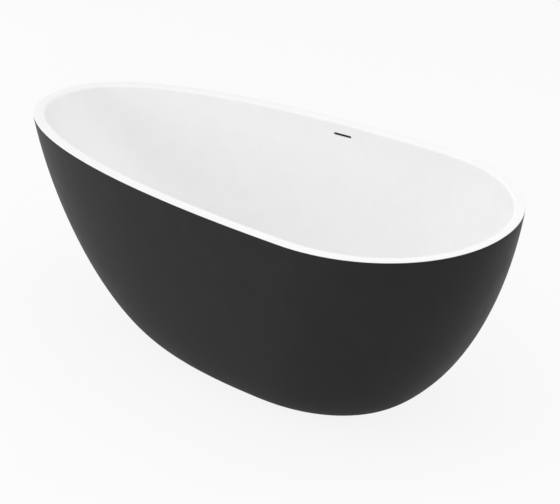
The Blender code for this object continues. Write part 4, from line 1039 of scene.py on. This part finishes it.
def hose_clip(end, inner):
    """A worm-drive band round the hose over its spigot: band, housing and screw; the band's tail is not
    drawn.
    """
    ahead = (inner - end).normalized()
    side = Vector((1, 0, 0))
    side = (side - ahead * side.dot(ahead)).normalized()
    place = Matrix((side, ahead.cross(side), ahead)).transposed().to_4x4()
    place.translation = end + (inner - end) / 2
    bore = HOSE_OUTSIDE / math.cos(math.pi / 16) + TOUCH
    outside, half = bore + 0.0009, 0.004
    band = turned_ring([(bore, -half), (outside, -half), (outside, half), (bore, half)], 72, 0.0002)
    saddle = loft([level(outline(0.0030, half, 0.0008, 5), z) for z in (0.0, 0.0030)])
    saddle = placed(saddle, at(bore + 0.0003, 0, 0) @ Matrix.Rotation(math.pi / 2, 4, "Y")
                    @ Matrix.Rotation(math.pi / 2, 4, "Z"))
    barrel = turned([(0.0012, -0.0040), (0.0022, -0.0040), (0.0022, 0.0022), (0.0012, 0.0022)], 40, 0.0003)
    head = loft([hexagon(0.0026, 0.0024, 0.0022, 48), hexagon(0.0026, 0.0026, 0.0025, 48),
                 hexagon(0.0026, 0.0026, 0.0036, 48), hexagon(0.0026, 0.0023, 0.0040, 48)])
    lying = at(outside + 0.0036, 0, 0) @ Matrix.Rotation(-math.pi / 2, 4, "X")
    whole = [("UNION", placed(shape, place)) for shape in
             (saddle, placed(barrel, lying), placed(head, lying))]
    return placed(band, place), whole


# ---------------------------------------------------------------- operators

class BATHTUB_OT_skirt(bpy.types.Operator):
    """Make the charcoal outer skirt as one smooth sheet"""

    bl_idname = "bathtub.skirt"
    bl_label = "Outer skirt"

    def execute(self, context):
        shells = Shells(context.scene.bathtub_form, FINE)
        piece("skirt_skin", skirt_shape(shells.form, shells), "tub", ["outer_skirt"],
              finish("charcoal_acrylic"))
        return {"FINISHED"}


class BATHTUB_OT_basin(bpy.types.Operator):
    """Make the white basin with its rim, overflow slot and dished drain"""

    bl_idname = "bathtub.basin"
    bl_label = "Basin"

    def execute(self, context):
        form = context.scene.bathtub_form
        shells = Shells(form, FINE)
        upright = Matrix.Rotation(-math.pi / 2, 4, "X")
        cutter = placed(slot_cutter(form), shells.slot_frame() @ upright)
        piece("basin_skin", basin_shape(form, shells), "tub", ["inner_basin"],
              finish("white_acrylic"), [("DIFFERENCE", cutter)])
        return {"FINISHED"}


class BATHTUB_OT_packed_pieces(bpy.types.Operator):
    """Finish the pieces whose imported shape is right: frame, brackets, board, batten, bead and boxes"""

    bl_idname = "bathtub.packed_pieces"
    bl_label = "Frame, board and other packed pieces"

    def execute(self, context):
        corner = context.scene.bathtub_fittings.tube_bevel
        bars = ["frame_rail_left", "frame_rail_right", "frame_cross_narrow", "frame_cross_wide",
                "frame_cross_middle"]
        brackets = [f"skirt_bracket_{corner_name}" for corner_name in CORNERS]
        rounded = {name: corner for name in bars}
        rounded.update({name: corner / 3 for name in brackets})
        rounded.update(base_board=0.0012, overflow_channel=0.0006)
        for name, width in rounded.items():
            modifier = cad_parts[name].modifiers.new("Rounded edges", "BEVEL")
            modifier.width = width
            modifier.segments = 3
            modifier.limit_method = "ANGLE"
            modifier.angle_limit = math.radians(50)
            modifier.use_clamp_overlap = True
        kept = {
            "galvanised_steel": bars + brackets,
            "plywood": ["base_board", "rim_batten"],
            "sealant": ["rim_bond_bead"],
            "black_plastic": ["overflow_channel"],
            "black_rubber": ["overflow_gasket"],
            "spring_steel": ["plug_spring"],
        }
        for slot, names in kept.items():
            for name in names:
                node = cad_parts[name]
                node.data.materials.clear()
                node.data.materials.append(finish(slot))
        return {"FINISHED"}


class BATHTUB_OT_feet(bpy.types.Operator):
    """Make the five levelling feet: threaded spindle, rubber pad, bush and lock nut"""

    bl_idname = "bathtub.feet"
    bl_label = "Levelling feet"

    def execute(self, context):
        fittings = context.scene.bathtub_fittings
        for name in FEET:
            place = middle_of(f"foot_screw_{name}")
            low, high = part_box(f"foot_screw_{name}")
            piece(f"spindle_{name}", foot_spindle(fittings, place, low.z, high.z), f"foot_{name}",
                  [f"foot_screw_{name}"], finish("zinc_fixings"), sharp=30.0)
            piece(f"pad_{name}", foot_pad(place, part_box(f"foot_pad_{name}")[1].z), f"foot_{name}",
                  [f"foot_pad_{name}"], finish("black_rubber"))
            low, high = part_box(f"foot_bush_{name}")
            piece(f"bush_{name}", foot_bush(place, low.z, high.z), "tub",
                  [f"foot_bush_{name}"], finish("galvanised_steel"))
            low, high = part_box(f"foot_lock_nut_{name}")
            piece(f"lock_nut_{name}", lock_nut(place, low.z, high.z, (high.x - low.x) / 2), "tub",
                  [f"foot_lock_nut_{name}"], finish("zinc_fixings"))
        return {"FINISHED"}


class BATHTUB_OT_screws(bpy.types.Operator):
    """Make the cross-recess screws of the skirt's brackets and the base board"""

    bl_idname = "bathtub.screws"
    bl_label = "Screws"

    def execute(self, context):
        for corner_name in CORNERS:
            fixing_screw(f"bracket_fixing_{corner_name}", f"skirt_screw_{corner_name}", True,
                         finish("zinc_fixings"))
            fixing_screw(f"board_fixing_{corner_name}", f"board_screw_{corner_name}", False,
                         finish("zinc_fixings"))
        return {"FINISHED"}


class BATHTUB_OT_waste(bpy.types.Operator):
    """Make the waste: flange with spokes, seals, chamber, outlet tail and its nut"""

    bl_idname = "bathtub.waste"
    bl_label = "Waste"

    def execute(self, context):
        form, fittings = context.scene.bathtub_form, context.scene.bathtub_fittings
        drain = at(form.slot_x, 0.0)

        def fitting(name, shape, slot, node, tools=()):
            tools = [(kind, placed(tool, drain)) for kind, tool in tools]
            piece(name, placed(shape, drain), "tub", [node], finish(slot), tools)
        low, high = (corner.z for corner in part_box("waste_flange"))
        seat, ease = high - 0.0025, 0.00125
        fitting("drain_flange", turned_ring([
            (0.0210, low), (0.0240, low), (0.0240, seat), (0.0338 - ease, seat), (0.0338, seat + ease),
            (0.0338 - ease, high), (0.0210 + ease, high), (0.0210, seat)], 96), "chrome", "waste_flange",
            flange_tools(low))
        for name, node, inner, outer in (("flange_washer", "waste_flange_seal", 0.0263, 0.0313),
                                         ("chamber_washer", "waste_body_seal", 0.0243, 0.0360)):
            low, high = (corner.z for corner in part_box(node))
            fitting(name, turned_ring([(inner, low), (outer, low), (outer, high), (inner, high)], 72,
                                      0.0005), "black_rubber", node)
        self.chamber(fitting)
        low, high = (corner.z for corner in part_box("waste_tail"))
        fitting("outlet_tail", turned_ring([
            (0.0180, low), (0.0200, low), (0.0200, high - 0.003), (0.0212, high - 0.003), (0.0212, high),
            (0.0180, high)], 72, 0.0005), "white_plastic", "waste_tail")
        low, high = (corner.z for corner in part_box("waste_tail_nut"))
        fitting("outlet_nut", tail_nut(fittings, low, high), "black_plastic", "waste_tail_nut")
        return {"FINISHED"}

    def chamber(self, fitting):
        """The chamber under the drain, its outlet, drawn plain without its thread, and the spigot for the
        hose.
        """
        low, high = (corner.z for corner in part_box("waste_body"))
        floor, bore, outlet = low + 0.022, 0.0243, 0.0215
        body = turned_ring([
            (bore, high), (0.0360, high), (0.0360, high - 0.004), (WASTE_OUTSIDE, high - 0.004),
            (WASTE_OUTSIDE, floor), (outlet, floor), (outlet, low), (outlet - 0.003, low),
            (outlet - 0.003, floor + 0.003), (bore, floor + 0.003)], 96, 0.0012)
        side = at(0, 0, INLET_Z) @ Matrix.Rotation(-math.pi / 2, 4, "X")
        far = WASTE_OUTSIDE + INLET_LENGTH
        spigot = turned([(SPIGOT_HOLE, 0.0264), (SPIGOT, 0.0264), (SPIGOT, far), (SPIGOT_HOLE, far)], 48)
        hole = turned([(SPIGOT_HOLE, bore / 2), (SPIGOT_HOLE, far + INLET_LENGTH)], 48)
        fitting("drain_chamber", body, "black_plastic", "waste_body",
                [("UNION", placed(spigot, side)), ("DIFFERENCE", placed(hole, side))])


class BATHTUB_OT_plug(bpy.types.Operator):
    """Make the pop-up plug: domed cap, seal, stem and the cartridge it slides in"""

    bl_idname = "bathtub.plug"
    bl_label = "Pop-up plug"

    def execute(self, context):
        drain = at(context.scene.bathtub_form.slot_x, 0.0)

        def fitting(name, shape, body, slot, node):
            piece(name, placed(shape, drain), body, [node], finish(slot))
        boss, crown = (corner.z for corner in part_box("plug_cap"))
        under = boss + 0.005
        cap = [(0.0038, under), (0.0038, boss), (0.0060, boss), (0.0060, under), (0.0315, under),
               (0.0315, under + 0.0020)]
        dome = [(0.0315 * math.cos(turn), under + 0.002 + (crown - under - 0.002) * math.sin(turn))
                for turn in np.linspace(0.35, 1.50, 14)]
        fitting("plug_dome", turned(cap + dome, 96, 0.0006), "plug", "chrome", "plug_cap")
        low, high = (corner.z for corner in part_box("plug_seal"))
        fitting("plug_gasket", turned_ring([(0.0228, low), (0.0280, low), (0.0280, high), (0.0228, high)],
                                           72, 0.0006), "plug", "black_rubber", "plug_seal")
        low, high = (corner.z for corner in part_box("plug_stem"))
        fitting("plug_rod", turned([(0.0030, low), (0.0072, low), (0.0072, low + 0.003),
                                    (0.0035, low + 0.003), (0.0035, high), (0.0010, high)], 48, 0.0005),
                "plug", "chrome", "plug_stem")
        low, high = (corner.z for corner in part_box("plug_cartridge"))
        self.cartridge(fitting, low, high)
        return {"FINISHED"}

    def cartridge(self, fitting, low, high):
        """A barrel with a floor, a collar on the flange's hub and a neck round the rod."""
        outer, bore, neck, floor = 0.0095, 0.0078, 0.0041, 0.002
        collar = high - 0.018 + TOUCH
        barrel = [(0.0010, low + floor), (bore, low + floor), (bore, high - floor), (neck, high - floor),
                  (neck, high), (outer, high), (outer, collar + 0.002), (0.0125, collar + 0.002),
                  (0.0125, collar), (outer, collar), (outer, low), (0.0010, low)]
        fitting("plug_barrel", turned(barrel, 64, 0.0004), "tub", "white_plastic", "plug_cartridge")


class BATHTUB_OT_overflow(bpy.types.Operator):
    """Make the overflow's ribbed hose and its two clips"""

    bl_idname = "bathtub.overflow"
    bl_label = "Overflow hose and clips"

    def execute(self, context):
        fittings = context.scene.bathtub_fittings
        path = hose_path(Shells(context.scene.bathtub_form, COARSE))
        piece("ribbed_hose", ribbed_hose(fittings, path), "tub", ["overflow_hose"],
              finish("grey_plastic"), sharp=60.0)
        for name, end, inner in (("upper", path[0], path[1]), ("lower", path[-1], path[-2])):
            band, tools = hose_clip(end, inner)
            piece(f"worm_clip_{name}", band, "tub", [f"hose_clip_{name}"],
                  finish("zinc_fixings"), tools)
        return {"FINISHED"}


class BATHTUB_OT_studio(bpy.types.Operator):
    """Set up a pale floor, soft lamps and the camera"""

    bl_idname = "bathtub.studio"
    bl_label = "Studio"

    def execute(self, context):
        settings = context.scene.bathtub_studio
        self.floor(settings, context.scene.bathtub_finishes.stage)
        self.world(context.scene, settings)
        lamps = (
            ("softbox_top", (0.8, 0.0, 3.3), (0, 0, 0.4), (3.4, 2.4), settings.top_light),
            ("softbox_left", (-3.6, 0.6, 0.5), (-0.6, 0, 0.3), (1.6, 0.9), settings.left_light),
            ("softbox_front", (-3.2, -3.0, 2.0), (0, 0, 0.3), (2.0, 2.0), settings.front_light),
        )
        for name, place, target, spread, power in lamps:
            lamp = bpy.data.lights.new(name, "AREA")
            lamp.shape = "RECTANGLE"
            lamp.size, lamp.size_y = spread
            lamp.energy = power
            holder = bpy.data.objects.new(name, lamp)
            holder.location = place
            holder.rotation_euler = (Vector(target) - Vector(place)).to_track_quat("-Z", "Y").to_euler()
            context.scene.collection.objects.link(holder)
        self.camera(context.scene, settings)
        context.scene.view_settings.view_transform = "Standard"
        return {"FINISHED"}

    def floor(self, settings, tone):
        """A pale round floor: white to the eye, and still darkened by the tub's shadow."""
        made = mesh_object("studio_floor", ([tuple(point) for point in circle(12.0, -0.0005, 96)],
                                            [tuple(range(96))]))
        if made.data.polygons[0].normal.z < 0:
            made.data.flip_normals()
        material = bpy.data.materials.new("studio_floor")
        material.use_nodes = True
        tree = material.node_tree
        tree.nodes.clear()
        grain = place_effect(tree, fine_grain(), Scale=60.0)
        diffuse = add_node(tree, "BsdfDiffuse")
        tree.links.new(mixed(tree, grain["Mask"], tone, tinted(tone, 0.985)), diffuse.inputs["Color"])
        glow = add_node(tree, "Emission", in_Strength=1.0)
        glow.inputs["Color"].default_value = (1.0, 1.0, 1.0, 1.0)
        mirrored = add_node(tree, "LightPath").outputs["Is Glossy Ray"]
        share = ranged(tree, mirrored, settings.shadow, settings.mirrored_shadow)
        shown = add_node(tree, "MixShader", in_0=share, in_1=glow.outputs[0], in_2=diffuse.outputs[0])
        seen = self.seen(tree)
        ray = add_node(tree, "MixShader", in_0=seen, in_1=diffuse.outputs[0], in_2=shown.outputs[0])
        clear = add_node(tree, "BsdfTransparent")
        under = add_node(tree, "NewGeometry").outputs["Backfacing"]
        sided = add_node(tree, "MixShader", in_0=under, in_1=ray.outputs[0], in_2=clear.outputs[0])
        leave = add_node(tree, "OutputMaterial")
        tree.links.new(sided.outputs[0], leave.inputs["Surface"])
        made.data.materials.append(material)

    def seen(self, tree):
        """1 for a ray from the camera, a mirror-like bounce or a see-through surface."""
        path = add_node(tree, "LightPath").outputs
        either = calculated(tree, "ADD", path["Is Camera Ray"], path["Is Glossy Ray"])
        return calculated(tree, "MINIMUM", calculated(tree, "ADD", either, path["Is Transmission Ray"]), 1.0)

    def world(self, scene, settings):
        """White to the eye and to reflections, and a weaker even light on the tub."""
        world = bpy.data.worlds.new("studio")
        world.use_nodes = True
        tree = world.node_tree
        background = tree.nodes["Background"]
        background.inputs["Color"].default_value = (1.0, 1.0, 1.0, 1.0)
        tree.links.new(ranged(tree, self.seen(tree), settings.fill, 1.0), background.inputs["Strength"])
        scene.world = world

    def camera(self, scene, settings):
        """A long lens, looking down at the narrow end and one side."""
        azimuth, elevation = settings.azimuth, settings.elevation
        back = Vector((math.sin(azimuth) * math.cos(elevation), -math.cos(azimuth) * math.cos(elevation),
                       math.sin(elevation)))
        facing = back.to_track_quat("Z", "Y")
        right, up = facing @ Vector((1, 0, 0)), facing @ Vector((0, 1, 0))
        look = Vector((0, 0, settings.look_height)) + right * settings.look_right + up * settings.look_up
        lens = bpy.data.cameras.new("camera")
        lens.lens = settings.lens
        lens.sensor_width = 36.0
        holder = bpy.data.objects.new("camera", lens)
        holder.location = look + back * settings.distance
        holder.rotation_euler = facing.to_euler()
        scene.collection.objects.link(holder)
        scene.camera = holder


STEPS = (BATHTUB_OT_studio, BATHTUB_OT_skirt, BATHTUB_OT_basin, BATHTUB_OT_packed_pieces,
         BATHTUB_OT_feet, BATHTUB_OT_screws, BATHTUB_OT_waste, BATHTUB_OT_plug, BATHTUB_OT_overflow)


class BATHTUB_PT_panel(bpy.types.Panel):
    """The tub's steps and the values they use"""

    bl_idname = "BATHTUB_PT_panel"
    bl_label = "Bathtub"
    bl_space_type = "VIEW_3D"
    bl_region_type = "UI"
    bl_category = "Bathtub"

    def draw(self, context):
        for step in STEPS:
            self.layout.operator(step.bl_idname)
        for name in GROUPS:
            group = getattr(context.scene, name)
            box = self.layout.box()
            for key in group.bl_rna.properties.keys():
                if key not in ("rna_type", "name"):
                    box.prop(group, key)


GROUPS = {"bathtub_form": TubForm, "bathtub_fittings": FittingSizes, "bathtub_finishes": FinishColours,
          "bathtub_studio": StudioSettings}


def register():
    for kind in (*GROUPS.values(), *STEPS, BATHTUB_PT_panel):
        bpy.utils.register_class(kind)
    for name, kind in GROUPS.items():
        setattr(bpy.types.Scene, name, PointerProperty(type=kind))


def unregister():
    for name in GROUPS:
        delattr(bpy.types.Scene, name)
    for kind in reversed((*GROUPS.values(), *STEPS, BATHTUB_PT_panel)):
        bpy.utils.unregister_class(kind)


def main():
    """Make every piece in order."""
    register()
    for step in STEPS:
        area, name = step.bl_idname.split(".")
        getattr(getattr(bpy.ops, area), name)()


if __name__ == "__main__":
    main()
